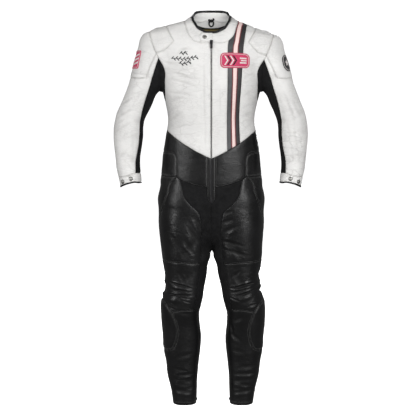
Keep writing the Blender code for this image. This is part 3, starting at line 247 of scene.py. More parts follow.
# Seams: name, first landmark, last landmark, then the places between the two.
SEAMS = {}
for row in """
    zip_edge neck_zip v_zip
    neck_a neck_zip neck_tab; front 220 13735
    neck_b neck_tab neck_stripe
    neck_c neck_stripe neck_shoulder; front 850 14080
    neck_d neck_shoulder neck_back; top 900 300; back 500 14580
    collar_a collar_front collar_tab; front 185 14092
    collar_b collar_tab collar_back; front 520 14255; front 650 14450; side -360 14630\
      ; side 180 14755; back 540 14870
    collar_end neck_tab collar_tab
    ridge_a neck_shoulder ridge_stripe_2
    ridge_b ridge_stripe_2 ridge_stripe_3
    ridge_c ridge_stripe_3 ridge_pad
    stripe_0 neck_stripe v_stripe_0; front 605 13389; front 591 11628
    stripe_1 neck_shoulder v_stripe_1; front 870 13850; front 800 13389; front 760 11628
    stripe_2 ridge_stripe_2 v_stripe_2; front 1040 13850; front 985 13389; front 915 11628
    stripe_3 ridge_stripe_3 v_stripe_3; front 1220 13850; front 1178 13389; front 1071 11628
    pad_front_a ridge_pad pad_tip_front; front 1540 14120
    pad_front_b pad_tip_front pad_low_front
    pad_front_c pad_low_front pad_arm_front
    pad_back_a ridge_pad pad_tip_back; back 1540 14120
    pad_back_b pad_tip_back pad_low_back
    pad_back_c pad_low_back pad_arm_back
    armhole_top pad_arm_front pad_arm_back; front 2225 13827; top 2315 0; back 2225 13827
    armhole_front pad_arm_front tip_front
    armhole_back pad_arm_back tip_back
    armpit tip_front tip_back; near 1945 -620 12600; near 1975 -300 12050; near 1985 0 11950\
      ; near 1975 300 12050; near 1945 620 12600
    under_front tip_front under_side; front 1787 12876; front 1714 12600; front 1735 12250\
      ; side -400 11700
    under_back tip_back under_side; back 1787 12876; back 1714 12600; back 1735 12250\
      ; side 440 11700
    side_upper under_side waist_side
    v_a waist_side v_stripe_3; front 1520 10360
    v_b v_stripe_3 v_stripe_2
    v_c v_stripe_2 v_stripe_1
    v_d v_stripe_1 v_stripe_0
    v_e v_stripe_0 v_placket
    v_f v_placket v_zip
    v_g v_zip v_middle
    waist_rear waist_side waist_back; back 900 10400
    placket_a v_placket placket_side
    placket_b placket_side placket_low
    placket_c placket_low placket_end; front 105 7870
    placket_slit v_middle placket_end
    crotch_top crotch_tip placket_side; front 595 8478
    hip_seam hip_front_low crotch_tip
    hip_top_front hip_side hip_front_top
    hip_top_back hip_side hip_back_top
    hip_front hip_front_top hip_front_low; front 1298 9450
    hip_back hip_back_top hip_back_low; back 1380 9400
    hip_middle hip_front_low hip_back_low; front 1700 8780; side 60 8785; back 1750 8780
    hip_lower_front hip_front_low hip_end; front 1560 8478; front 1655 8067; outer -520 7400
    hip_lower_back hip_back_low hip_end; back 1600 8478; back 1680 8067; outer 620 7400
    side_hip waist_side hip_side
    seat hip_back_low seat_middle; back 700 8640
    seat_centre seat_middle crotch_back
    crotch_centre placket_end crotch_back; front 0 7000; front 0 6400; near 0 -200 6040\
      ; near 0 200 6060; back 0 6500
    crotch_side crotch_tip thigh_in; front 1097 8403; front 1005 8030; front 763 7731\
      ; front 458 7432; front 373 7094; front 354 6606; front 370 6042
    crotch_rear crotch_back knee_back_in; back 300 6800; back 420 6200; back 500 5500
    inner_front thigh_in knee_in_front; front 560 4600
    inner_back knee_back_in knee_in_back
    knee_in_a knee_in_front knee_in
    knee_in_b knee_in knee_in_back
    thigh_seam thigh_in thigh_side; front 1159 5552
    side_thigh hip_end thigh_side
    side_knee_a thigh_side knee_side
    side_knee_b knee_side slider_top
    slider_front_a slider_top slider_knee; front 1760 3960
    slider_front_b slider_knee slider_low; front 1327 3068; front 1354 2572; front 1544 2180
    slider_back slider_top slider_low; back 1680 3900; back 1450 3300; back 1430 2700\
      ; back 1600 2200
    knee_seam knee_in_front slider_knee; front 1100 3720
    knee_back knee_back_in knee_side; back 1200 4400
    side_shin slider_low hem_side
    inner_shin knee_in hem_in
    hem_front hem_side hem_in; front 1420 0; front 1080 0; front 740 0
    hem_back hem_side hem_in; back 1420 0; back 1080 0; back 740 0
    arm_front pad_arm_front arm_low_front; front 2247 12876
    arm_back pad_arm_back arm_low_back; back 2247 12876
    arm_low arm_low_front arm_low_back; front 2780 12430; outer 0 12430; back 2780 12430
    sleeve_front tip_front wrist_front; front 2168 12510; front 2400 11775; front 2560 11259\
      ; front 2665 10632; sleeve -520 9965; sleeve -650 9409
    sleeve_back tip_back wrist_back; back 2168 12510; back 2400 11775; back 2560 11259\
      ; back 2665 10632; sleeve 240 9965; sleeve 80 9409
    cuff_outer wrist_front wrist_back; front 3102 8806; outer -450 8740; back 3100 8810
    cuff_inner wrist_front wrist_back; sleeve -450 8890
    cuff_end wrist_back cuff_back
    cuff_bottom cuff_back cuff_back; sleeve -700 8575; front 2860 8600; front 3150 8540\
      ; outer -480 8400; back 3150 8490; back 2850 8560
    """.strip().splitlines():
    (name, *ends), *between = (part.split() for part in row.split(";"))
    SEAMS[name] = (*ends, *[found_at(part) for part in between])

# Main folds on both sides of the suit: start and end (x, y, height), half width, depth
FOLD_ROWS = (
    ((0.150, -0.072, 0.472), (0.196, 0.000, 0.478), 0.0085, 0.0040),
    ((0.075, -0.055, 0.092), (0.160, -0.040, 0.104), 0.0090, -0.0045),
    ((0.072, -0.055, 0.066), (0.150, -0.045, 0.060), 0.0085, -0.0040),
    ((0.060, -0.095, 0.640), (0.110, -0.100, 0.570), 0.0120, -0.0040),
    ((0.075, -0.095, 0.520), (0.120, -0.090, 0.450), 0.0120, -0.0035),
    ((0.060, 0.060, 0.445), (0.180, 0.050, 0.430), 0.0100, -0.0060),
    ((0.262, -0.050, 1.075), (0.350, -0.050, 1.120), 0.0110, -0.0045),
    ((0.265, -0.055, 1.020), (0.355, -0.050, 1.050), 0.0110, -0.0040),
    ((0.205, -0.070, 1.225), (0.255, -0.075, 1.270), 0.0110, -0.0035),
    ((0.275, -0.075, 0.930), (0.350, -0.060, 0.965), 0.0100, -0.0035),
)

# Folds of one side alone, in the same columns
SIDE_FOLDS = (
    ((-0.176, -0.060, 0.412), (-0.196, 0.030, 0.410), 0.0045, -0.0085),
    ((-0.176, -0.060, 0.428), (-0.196, 0.030, 0.428), 0.0060, 0.0045),
    ((-0.174, -0.060, 0.442), (-0.192, 0.030, 0.444), 0.0036, -0.0040),
    ((0.168, -0.060, 0.440), (0.186, 0.030, 0.442), 0.0048, -0.0090),
    ((0.168, -0.060, 0.454), (0.186, 0.030, 0.458), 0.0080, 0.0050),
    ((0.172, -0.060, 0.500), (0.188, 0.030, 0.502), 0.0150, -0.0050),
)

# Small creases, each on one side, by view: start x and height, end x and height, bow sideways,
# half width, depth. Troughs are below 0 and ridges above.
CREASES = {
    "front": table(
        """
    -1670 12730 -490 12250 60 50 -14
    -1630 12400 -380 12000 80 60 -17
    -1670 12000 -530 11810 -60 50 -15
    -1230 12510 -190 12330 40 45 -11
    -1620 11550 -900 11700 50 55 -14
    -1570 10780 -1010 11190 40 60 -14
    -1600 11200 -1100 11400 20 50 -11
    -1500 10450 -800 10750 40 60 -11
    -290 13100 -270 10670 30 50 -12
    -200 11000 -220 9850 -20 45 -9
    300 12070 320 10900 20 45 -12
    260 13500 280 12400 20 50 -8
    1130 11700 1580 12000 40 55 -14
    1060 10930 1540 11190 40 60 -14
    1120 11300 1580 11500 30 50 -11
    1180 12400 1600 12620 40 55 -12
    1150 10500 1500 10720 30 55 -12
    800 10200 1200 10550 30 50 -9
    -1200 13500 -500 13400 60 60 -12
    -1300 13300 -700 13650 40 55 -9
    -1750 13000 -1200 12900 40 50 -11
    -2000 13720 -1500 14020 40 60 -10
    1900 13660 1500 13980 40 60 -10
    -3450 11330 -2780 11740 60 56 -16
    -3490 10930 -2820 11300 60 52 -15
    -3570 10410 -2930 10780 50 52 -15
    -3500 10050 -2900 10280 40 49 -11
    -3000 12000 -2620 12220 40 49 -11
    -3450 9400 -3000 9850 40 49 -10
    -3000 10600 -2960 9300 60 56 -9
    2610 12000 3140 10670 80 63 -17
    3140 10670 3360 9630 -60 56 -16
    2460 11880 2770 10670 60 56 -12
    3000 11800 3450 10900 -60 56 -11
    2960 10200 3100 9300 40 52 -11
    3400 10600 3000 10350 40 49 -10
    2650 11100 3200 11280 50 56 -11
    -3520 10720 -3180 10900 30 48 -16
    -3300 11500 -3000 11600 30 48 -13
    -3400 10200 -3050 10500 -40 48 -14
    -2850 11500 -2620 11850 30 48 -13
    -3250 9600 -2900 9500 30 48 -11
    -2700 12620 -2150 12400 40 50 -12
    3180 11350 2880 11050 30 48 -15
    3450 10200 3180 9950 30 48 -13
    2880 10800 3050 10200 -30 48 -14
    3350 11000 3000 10850 -30 48 -12
    3250 9400 2950 9650 30 48 -12
    2620 12450 2220 12620 40 50 -12
    -1750 4810 -760 4560 20 36 -52
    -1670 4650 -800 4470 20 32 22
    -1710 4530 -760 4410 20 32 -44
    -1380 4460 -780 4370 10 28 14
    -1790 4350 -760 4290 -10 34 -48
    -1230 4220 -820 4170 10 30 -26
    -1120 4110 -820 4010 10 30 -20
    -1690 4160 -1200 4130 -30 110 30
    -1710 3920 -1320 3740 -10 34 -26
    -1610 4010 -1390 3900 -10 30 14
    -1290 5190 -1070 4810 20 60 -16
    -990 5150 -880 4770 10 50 -14
    640 4570 1820 4890 -40 40 -60
    670 4490 1730 4700 -20 32 26
    870 4270 1690 4570 -20 36 -50
    690 4390 1250 4530 -10 28 -26
    950 4140 1480 4320 -20 90 30
    650 4220 1020 4070 10 34 -24
    1320 3920 1700 3970 10 30 -22
    1280 3820 1660 3860 10 30 14
    740 4960 1080 5260 20 50 -16
    1410 5080 1710 5000 -10 60 -18
    -610 7300 -310 6510 30 65 -34
    -830 7270 -460 6630 20 55 22
    -910 6970 -510 6290 20 60 -36
    -1020 6700 -590 6060 20 55 22
    -1060 6440 -670 5870 20 60 -30
    -1110 6250 -780 5830 20 50 18
    -1540 6700 -1050 5720 40 80 -14
    440 7380 810 7490 20 60 -28
    400 7040 850 7190 20 60 -30
    480 6700 1000 6930 20 70 -24
    360 6360 1170 6170 30 60 -28
    390 6170 980 5980 20 50 20
    610 6020 1280 5800 20 60 -22
    0 7200 320 6400 40 80 -40
    0 7200 -320 6400 -40 80 -40
    30 6900 200 6100 30 70 -34
    -30 6900 -200 6100 -30 70 -34
    -1300 3650 -700 3500 40 80 -16
    -500 3300 -560 2500 40 60 -24
    600 3300 740 2700 40 70 -22
    670 2780 1000 2460 40 70 -24
    1100 3500 750 3300 30 70 -18
    700 2150 1200 2000 40 80 -16
    -1400 1800 -800 2000 40 80 -16
    -1360 1140 -650 1190 50 60 -34
    -1500 1400 -900 1280 40 60 -20
    -1480 560 -650 440 40 60 -30
    -1400 860 -850 800 -30 55 -20
    760 1190 1660 1210 50 60 -34
    900 1450 1600 1520 40 60 -20
    670 440 1400 530 40 60 -28
    850 850 1500 800 -30 55 -20
    """
    ),
    "back": table(
        """
    -1300 10800 -400 10600 60 80 -22
    -200 10750 1100 10900 60 80 -22
    -1400 11300 -600 11050 60 80 -17
    600 11200 1450 11400 60 80 -17
    -1500 12500 -800 12000 80 80 -15
    1500 12450 900 11950 80 80 -15
    -1600 13300 -1200 12700 60 90 -17
    1600 13250 1250 12650 60 90 -17
    -600 13950 500 13920 80 80 -12
    -1100 7600 -300 7350 -80 100 -30
    1100 7550 350 7380 -80 100 -30
    -1200 7150 -400 6900 -80 90 -26
    1250 7200 450 6920 -80 90 -26
    -1500 6400 -700 6100 60 100 -18
    1500 6320 750 6060 60 100 -18
    -1600 4800 -650 4700 60 70 -40
    1600 4840 650 4680 60 70 -40
    -1600 4100 -750 4200 60 70 -34
    1600 4060 750 4180 60 70 -34
    -1500 3850 -900 3750 30 70 -20
    1500 3880 900 3720 30 70 -20
    -1400 1200 -800 1120 40 70 -26
    1400 1240 800 1100 40 70 -26
    -1350 650 -850 600 40 60 -22
    1350 620 850 580 40 60 -22
    -3500 10900 -2900 11200 50 56 -17
    3500 10860 2900 11160 50 56 -17
    -3520 10500 -2900 10600 50 56 -15
    3520 10450 2900 10580 50 56 -15
    -3450 9800 -2900 10000 50 56 -11
    3450 9750 2900 9980 50 56 -11
    -2900 12000 -2500 11700 50 56 -11
    2900 11960 2500 11660 50 56 -11
    """
    ),
}
CREASE_KNOTS = 7

# Stance: how far the suit leans to its left at each height, and where its left side drops
SWAY_ROWS = (
    (-0.10, 0.0065),
    (0.30, 0.0075),
    (0.45, 0.0050),
    (0.55, 0.0030),
    (0.66, 0.0),
    (2.0, 0.0),
)
SHOULDER_DROP = 0.0110
SHOULDER_SETTLE = 0.0030
LEG_SPREAD = 0.014
CROTCH_FOLD = 0.572
FOREARM_SHIFT = 0.0050

# Panels: limb, seams, finish. Seams are in order round the panel, "~" means the seam on the other
# side, and "-" one run backwards.
SIDE_PANELS = {
    "underarm": ("torso", "armpit under_back under_front", "stretch_cloth"),
    "waist_front": (
        "torso",
        "v_a v_b v_c v_d v_e placket_a crotch_top hip_seam hip_front hip_top_front side_hip",
        "black_leather",
    ),
    "placket": ("torso", "v_f v_g placket_slit placket_c placket_b placket_a", "black_leather"),
    "crotch": (
        "leg",
        "crotch_side inner_front knee_in_a knee_in_b inner_back crotch_rear crotch_centre"
        " placket_c placket_b crotch_top",
        "stretch_cloth",
    ),
    "thigh_front": (
        "leg",
        "hip_seam crotch_side thigh_seam side_thigh hip_lower_front",
        "black_leather",
    ),
    "thigh_back": (
        "leg",
        "seat seat_centre crotch_rear knee_back side_knee_a side_thigh hip_lower_back",
        "black_leather",
    ),
    "knee": (
        "leg",
        "thigh_seam side_knee_a side_knee_b slider_front_a knee_seam inner_front",
        "black_leather",
    ),
    "shin": (
        "leg",
        "knee_seam slider_front_b side_shin hem_front inner_shin knee_in_a",
        "black_leather",
    ),
    "calf": (
        "leg",
        "knee_back side_knee_b slider_back side_shin hem_back inner_shin knee_in_b inner_back",
        "black_leather",
    ),
    "sleeve_outer": (
        "arm",
        "armhole_front sleeve_front cuff_outer sleeve_back armhole_back arm_back arm_low"
        " arm_front",
        "white_leather",
    ),
    "sleeve_inner": ("arm", "sleeve_front cuff_inner sleeve_back armpit", "stretch_cloth"),
    "cuff": ("arm", "-cuff_outer cuff_inner cuff_end cuff_bottom cuff_end", "white_leather"),
}
SIDE_PADS = {
    "shoulder_pad": (
        "torso",
        "pad_front_a pad_front_b pad_front_c armhole_top pad_back_c pad_back_b pad_back_a",
        "white_leather",
    ),
    "arm_pad": ("arm", "armhole_top arm_back arm_low arm_front", "white_leather"),
    "hip_pad_upper": (
        "torso",
        "hip_top_front hip_front hip_middle hip_back hip_top_back",
        "black_leather",
    ),
    "hip_pad_lower": ("leg", "hip_middle hip_lower_back hip_lower_front", "black_leather"),
    "knee_slider_pad": ("leg", "slider_front_a slider_front_b slider_back", "black_leather"),
}
SHOULDER_LINE = "ridge_a ridge_b ridge_c pad_front_a pad_front_b pad_front_c armhole_front"
V_LINE = "v_a v_b v_c v_d v_e v_f"
RIGHT_PANELS = {
    "front": (
        "torso",
        f"zip_edge neck_a neck_b neck_c {SHOULDER_LINE} under_front side_upper {V_LINE}",
        "white_leather",
    ),
}
LEFT_PANELS = {
    "front_inner": ("torso", "zip_edge neck_a neck_b stripe_0 v_e v_f", "white_leather"),
    "stripe_inner": ("torso", "stripe_0 neck_c stripe_1 v_d", "grey_leather"),
    "stripe_middle": ("torso", "stripe_1 ridge_a stripe_2 v_c", "pink_leather"),
    "stripe_outer": ("torso", "stripe_2 ridge_b stripe_3 v_b", "grey_leather"),
    "front_outer": (
        "torso",
        "stripe_3 ridge_c pad_front_a pad_front_b pad_front_c armhole_front under_front"
        " side_upper v_a",
        "white_leather",
    ),
}
MIDDLE_PANELS = {
    "zip_tape": ("torso", "zip_edge v_g v_g~ zip_edge~ zip_top", "stretch_cloth"),
    "back": (
        "torso",
        "neck_d ridge_a ridge_b ridge_c pad_back_a pad_back_b pad_back_c armhole_back"
        " under_back side_upper waist_rear waist_rear~ side_upper~ under_back~ armhole_back~"
        " pad_back_c~ pad_back_b~ pad_back_a~ ridge_c~ ridge_b~ ridge_a~ neck_d~",
        "white_leather",
    ),
    "waist_back": (
        "torso",
        "waist_rear side_hip hip_top_back hip_back seat seat~ hip_back~ hip_top_back~"
        " side_hip~ waist_rear~",
        "black_leather",
    ),
    "collar": (
        "torso",
        "neck_b~ neck_c~ neck_d~ neck_d neck_c neck_b neck_a zip_top neck_a~ collar_end~"
        " collar_a~ collar_a collar_b collar_b~ collar_end~",
        "white_leather",
    ),
}

# The way a piece on the front faces, in degrees round the suit
FRONT = -90.0
# Patches lie on the panels: the way they face, where across and up, width, height, corner
# radius, finish.
PATCHES = {
    "chest_patch": (FRONT, 0.0868, 1.3080, 0.1080, 0.0560, 0.016, "crimson_patch"),
    "sleeve_patch_R": (-142.0, -0.1380, 1.3120, 0.0500, 0.0680, 0.004, "crimson_patch"),
    "sleeve_patch_L": (-38.0, 0.1380, 1.3040, 0.0560, 0.0700, 0.0279, "black_patch"),
}

# Neck lining: places on the back, drawn on the form and then moved inside.
LINING_TOP = ((0.0, 1.4330), (0.0350, 1.4370), (0.0620, 1.4480))
LINING_LOW = ((0.1150, 1.3600), (0.0600, 1.3050), (0.0, 1.2950))
GOLD_BAND = (1.412, 1.427)

# Snaps: how the place is found, then its two coordinates
SNAPS = {
    "collar_snap_R": ("front", -0.0245, 1.3930),
    "cuff_snap_front_L": ("front", 0.3000, 0.8700),
    "cuff_snap_side_L": ("front", 0.3310, 0.8590),
    "cuff_snap_front_R": ("front", -0.3000, 0.8700),
    "cuff_snap_side_R": ("front", -0.3310, 0.8590),
}
# Profiles of a snap: radius and height, from the rim to the middle
SNAP_CAP = (
    (0.0000, 0.0004),
    (0.0062, 0.0004),
    (0.0066, 0.0012),
    (0.0060, 0.0021),
    (0.0050, 0.0024),
    (0.0044, 0.0018),
    (0.0036, 0.0023),
    (0.0022, 0.0029),
    (0.0000, 0.0031),
)
# The flange is a real dark ring under each cap, and it also stands for painted shade round the
# cap's rim
SNAP_SHADE_FLANGE = (
    (0.0000, 0.0000),
    (0.0078, 0.0000),
    (0.0079, 0.0005),
    (0.0070, 0.0010),
    (0.0000, 0.0010),
)

SNAP_PARTS = (("cap", SNAP_CAP, "snap_metal"), ("shade_flange", SNAP_SHADE_FLANGE, "dark_metal"))

# Bindings: half thickness. The collar draws in at its two back corners.
COLLAR_BINDING = 0.0046
CUFF_BINDING = 0.0030
COLLAR_CORNER = 1.466
CORNER_REACH = 0.009
CORNER_DRAW = 0.040
# Seam tape inside: half width, thickness over half width
TAPE_HALF = 0.0055
TAPE_FLAT = 0.10

# Hanger loop: height, half width and half height of its bow, half thickness of its cord, and how
# far its two ends hang to each side
LOOP_HEIGHT = 1.4520
LOOP_SIZE = (0.0085, 0.0120)
LOOP_CORD = 0.0027
LOOP_ENDS = ((-1, 0.0095), (1, 0.0120))

# Collar tab: the square end's x, the round end's middle, half length and half height
TAB_END = 0.0040
TAB_MIDDLE = (-0.0270, 1.3930)
TAB_ROUND = (0.0175, 0.0160)
TAB_WALL = 0.0020
TAB_GRAIN = 0.0035

# Top stitching: pitch, stitch length, half width, half height, rows in from the edge
STITCH_PITCH = 0.0042
STITCH_LENGTH = 0.0031
STITCH_HALF = (0.00046, 0.00034)
STITCH_ROWS = (0.0027,)
STITCH_LIFT = 0.0002
PAD_ROWS = (0.0027, 0.0062)

# Trouser hem: rows of stitches and how many go round, and the zip on the inside of each ankle
HEM_ROWS = (0.0105, 0.0135)
HEM_STITCHES = 62
ANKLE_ZIP = (0.0040, 0.1250)
ANKLE_ZIP_TURN = 2.75

# Zip chain
TOOTH_PITCH = 0.0021
TOOTH_SIZE = (0.0034, 0.0015, 0.0016)
TOOTH_SHIFT = 0.0009
TOOTH_RISE = 0.0008
ZIP_RUN = (0.9480, 1.3680)

# Ankle zips: size of a tooth and of the slider, half width of the tape
ANKLE_TOOTH = (0.0032, 0.0015, 0.0013)
ANKLE_SLIDER = (0.0078, 0.0095, 0.0034)
ANKLE_TAPE = 0.0042

# Piping and the dark cord down the fly, its edge and a painted shadow in its slit: half width
PIPING_HALF = 0.0019
FLY_SHADOW_HALF = 0.0021

# Badges: height over the leather, thickness
BADGE_BASE = 0.0003
BADGE_WALL = 0.0010
BADGE_LIFT = 0.0016
ROPE_STEP = 0.0022
# Cords of a badge, its border then its inner line: how much smaller each way, how much less round
# at the corners, least corner radius, half thickness
BADGE_CORDS = ((0.0028, 0.0014, 0.002, 0.0013), (0.0095, 0.0047, 0.001, 0.0009))
OUTLINE_STEP = 0.003
# Raised motifs, as x and height from the middle of the badge
CHEVRON = ((0, -0.017), (0.0055, -0.017), (0.0165, 0), (0.0055, 0.017), (0, 0.017), (0.011, 0))
CHEVRON_LEFT = -0.040
CHEVRON_PITCH = 0.0105
DARK_CHEVRONS = (1, 3)
# Plain bars beside the chevrons: left, low, right, high
BARS = (
    (0.018, 0.006, 0.043, 0.011),
    (0.022, -0.0025, 0.043, 0.0025),
    (0.018, -0.011, 0.043, -0.006),
)
SLANTS = (-0.024, 0.015)
STAR_SIZES = (0.0155, 0.0065)

# Sprig on the chest: left end x, height, length, tilt; then its cord
SPRIG_STEMS = (
    (-0.118, 1.3320, 0.030, 0.25),
    (-0.148, 1.3130, 0.098, 0.05),
    (-0.120, 1.2960, 0.046, 0.10),
)
SPRIG_RADIUS = 0.00095
SPRIG_LIFT = 0.0004
LEAF_PITCH = 0.0066


# ---------------------------------------------------------------- body form


class Sections:
    """Sizes of one limb at any height, smooth between the rows of its table."""

    def __init__(self, columns, rows):
        table = np.array(sorted(rows))
        self.heights = table[:, 0]
        sizes = {name: table[:, k] for k, name in enumerate(columns)}
        inner = sizes.get("inner", -sizes["outer"])
        self.rows = np.column_stack([inner, sizes["outer"], sizes["front"], sizes["back"]])
        self.slopes = np.gradient(self.rows, self.heights, axis=0)

    def read(self, height):
        """Inner, outer, front and back at each height, by a cubic between two rows."""
        h = np.clip(height, self.heights[0], self.heights[-1])
        k = np.clip(np.searchsorted(self.heights, h) - 1, 0, len(self.heights) - 2)
        span = self.heights[k + 1] - self.heights[k]
        t = ((h - self.heights[k]) / span)[:, None]
        span = span[:, None]
        start = self.rows[k] * (1 + 2 * t) + self.slopes[k] * span * t
        end = self.rows[k + 1] * (3 - 2 * t) - self.slopes[k + 1] * span * (1 - t)
        return start * (1 - t) ** 2 + end * t**2

    def sides(self, height):
        """Centre and half size of the section at each height."""
        inner, outer, front, back = self.read(height).T
        return (inner + outer) / 2, (outer - inner) / 2, (front + back) / 2, (back - front) / 2

    def depth(self, x, y, z):
        """About how far outside this limb each point is; negative inside."""
        centre_x, half_x, centre_y, half_y = self.sides(z)
        across = np.abs((x - centre_x) / half_x) ** SECTION_POWER
        along = np.abs((y - centre_y) / half_y) ** SECTION_POWER
        ratio = (across + along) ** (1 / SECTION_POWER)
        beyond = np.maximum(z - self.heights[-1], 0) + np.maximum(self.heights[0] - z, 0)
        return (ratio - 1) * np.minimum(half_x, half_y) + beyond


TORSO = Sections(TORSO_COLUMNS, TORSO_ROWS)
ARM = Sections(LIMB_COLUMNS, ARM_ROWS)
LEG = Sections(LIMB_COLUMNS, LEG_ROWS)


def blend(first, second):
    """The lesser of two depths, rounded where they are nearly equal."""
    mix = np.clip(0.5 + 0.5 * (second - first) / BLEND, 0, 1)
    return second * (1 - mix) + first * mix - BLEND * mix * (1 - mix)


def form(points):
    """Depth outside the whole filled-out suit at each point."""
    x, y, z = points[:, 0], points[:, 1], points[:, 2]
    side = np.abs(x)
    legs = blend(LEG.depth(x, y, z), LEG.depth(-x, y, z))
    return blend(blend(TORSO.depth(side, y, z), ARM.depth(side, y, z)), legs)


def slope(points):
    """The gradient of the form at each point."""
    reach = 2e-4
    result = np.empty_like(points)
    for axis in range(3):
        step = np.zeros(3)
        step[axis] = reach
        result[:, axis] = (form(points + step) - form(points - step)) / (2 * reach)
    return result


def outward(points):
    """Unit normals of the form."""
    return unit(slope(points))


def onto_form(points):
    """The points moved along the slope until they lie on the form."""
    for _ in range(12):
        gradient = slope(points)
        points = points - gradient * (form(points) / (gradient**2).sum(axis=1))[:, None]
    return points


def first_crossing(starts, directions, reach, samples=201):
    """Where each straight line first passes through the form."""
    steps = np.linspace(0, reach, samples)
    samples = starts[:, None, :] + steps[None, :, None] * directions[:, None, :]
    inside = form(samples.reshape(-1, 3)).reshape(len(starts), -1) < 0
    changed = inside[:, 1:] != inside[:, :-1]
    if not changed.any(axis=1).all():
        raise ValueError(f"a line misses the form near {starts[~changed.any(axis=1)][0]}")
    first = changed.argmax(axis=1)
    low, high = steps[first], steps[first + 1]
    began = inside[np.arange(len(starts)), first]
    for _ in range(16):
        middle = (low + high) / 2
        same = (form(starts + middle[:, None] * directions) < 0) == began
        low = np.where(same, middle, low)
        high = np.where(same, high, middle)
    return starts + low[:, None] * directions


def folds(points):
    """How far each point moves along its normal in the main folds."""
    side = np.column_stack([np.abs(points[:, 0]), points[:, 1], points[:, 2]])
    moved = np.zeros(len(points))
    rows = [(side, row) for row in FOLD_ROWS] + [(points, row) for row in SIDE_FOLDS]
    for places, (start, end, width, depth) in rows:
        start, end = np.array(start), np.array(end)
        line = end - start
        along = np.clip((places - start) @ line / (line @ line), 0, 1)
        away = np.linalg.norm(places - start - along[:, None] * line, axis=1)
        fade = np.minimum(1, 4 * np.minimum(along, 1 - along) + 0.15)
        moved += depth * fade * np.exp(-((away / width) ** 2))
    return moved


def crease_lines():
    """Each small crease as points on the form, with its half width and depth."""
    t = np.linspace(0, 1, CREASE_KNOTS)
    wave = np.sin(math.pi * t) + 0.25 * np.sin(3.1 * math.pi * t)
    rows = []
    creases = [(kind, *row) for kind, part in CREASES.items() for row in part]
    for kind, x0, h0, x1, h1, bow, _, _ in creases:
        aside = np.array([h0 - h1, x1 - x0])
        aside = aside / np.linalg.norm(aside) * bow
        near = -0.20 if kind == "front" else 0.20
        xs = x0 + (x1 - x0) * t + aside[0] * wave
        heights = h0 + (h1 - h0) * t + aside[1] * wave
        rows.append(np.column_stack([xs, np.full(len(t), near), heights]))
    starts = np.vstack(rows)
    ahead = np.column_stack([np.zeros(len(starts)), -np.sign(starts[:, 1]), np.zeros(len(starts))])
    steps = np.linspace(0, 0.28, 57)
    samples = starts[:, None, :] + steps[None, :, None] * ahead[:, None, :]
    inside = form(samples.reshape(-1, 3)).reshape(len(starts), -1) < 0
    hit = inside.any(axis=1)
    found = onto_form(starts + ahead * steps[inside.argmax(axis=1)][:, None])
    lines = []
    for k, (*_, width, depth) in enumerate(creases):
        some = slice(k * CREASE_KNOTS, (k + 1) * CREASE_KNOTS)
        line = found[some][hit[some]]
        if len(line) > 1:
            lines.append((line, width, depth))
    return lines


def creased(points, lines):
    """How far each point moves in the small creases; each has soft lips beside its trough."""
    moved = np.zeros(len(points))
    for line, width, depth in lines:
        reach = 3.2 * width
        low, high = line.min(axis=0) - reach, line.max(axis=0) + reach
        near = np.nonzero(((points > low) & (points < high)).all(axis=1))[0]
        if not len(near):
            continue
        some = points[near]
        best = np.full(len(near), 1.0)
        run = np.zeros(len(near))
        for k in range(len(line) - 1):
            step = line[k + 1] - line[k]
            along = np.clip((some - line[k]) @ step / (step @ step), 0, 1)
            away = np.linalg.norm(some - line[k] - along[:, None] * step, axis=1)
            closer = away < best
            best = np.where(closer, away, best)
            run = np.where(closer, (k + along) / (len(line) - 1), run)
        taper = np.sin(math.pi * np.clip(run, 0.0, 1.0)) ** 0.7
        ratio = best / (width * (0.55 + 0.45 * taper))
        lips = 0.38 * np.exp(-((ratio - 1.7) ** 2) * 1.4)
        moved[near] += depth * taper * (np.exp(-(ratio**2)) - lips)
    return moved


def rumple(points):
    """Slight unevenness of hand-sewn leather."""
    coarse = [noise.noise(Vector((p[0] * 13, p[1] * 13, p[2] * 20))) for p in points]
    fine = [noise.noise(Vector((p[0] * 34 + 7, p[1] * 34, p[2] * 68))) for p in points]
    return 0.0011 * np.array(coarse) + 0.00045 * np.array(fine)


def unit(vectors):
    return vectors / np.linalg.norm(vectors, axis=1, keepdims=True)


def round_loop(path):
    """Unit steps along a closed path."""
    return unit(np.roll(path, -1, axis=0) - np.roll(path, 1, axis=0))


def nearest(points):
    """A search tree of the points."""
    tree = KDTree(len(points))
    for k, point in enumerate(points):
        tree.insert(point, k)
    tree.balance()
    return tree


def smooth_step(low, high, values):
    t = np.clip((values - low) / (high - low), 0, 1)
    return t * t * (3 - 2 * t)


def stance(points):
    """The worn suit's small unevenness: legs to its left, left shoulder lower, left cuff in."""
    x, z = points[:, 0], points[:, 2]
    heights, sways = np.array(SWAY_ROWS).T
    moved = points.copy()
    moved[:, 0] *= 1 + LEG_SPREAD * smooth_step(0.76, 0.66, z)
    near_crotch = np.exp(-(((z - CROTCH_FOLD) / 0.021) ** 2)) * smooth_step(0.045, 0.018, np.abs(x))
    moved[:, 0] *= 1 - 0.60 * near_crotch
    moved[:, 2] -= SHOULDER_SETTLE * smooth_step(0.06, 0.12, np.abs(x)) * smooth_step(1.30, 1.40, z)
    moved[:, 0] += np.interp(z, heights, sways)
    moved[:, 0] -= FOREARM_SHIFT * smooth_step(0.20, 0.25, x) * smooth_step(1.20, 1.02, z)
    moved[:, 2] -= SHOULDER_DROP * smooth_step(0.09, 0.20, x) * smooth_step(1.24, 1.38, z)
    return moved


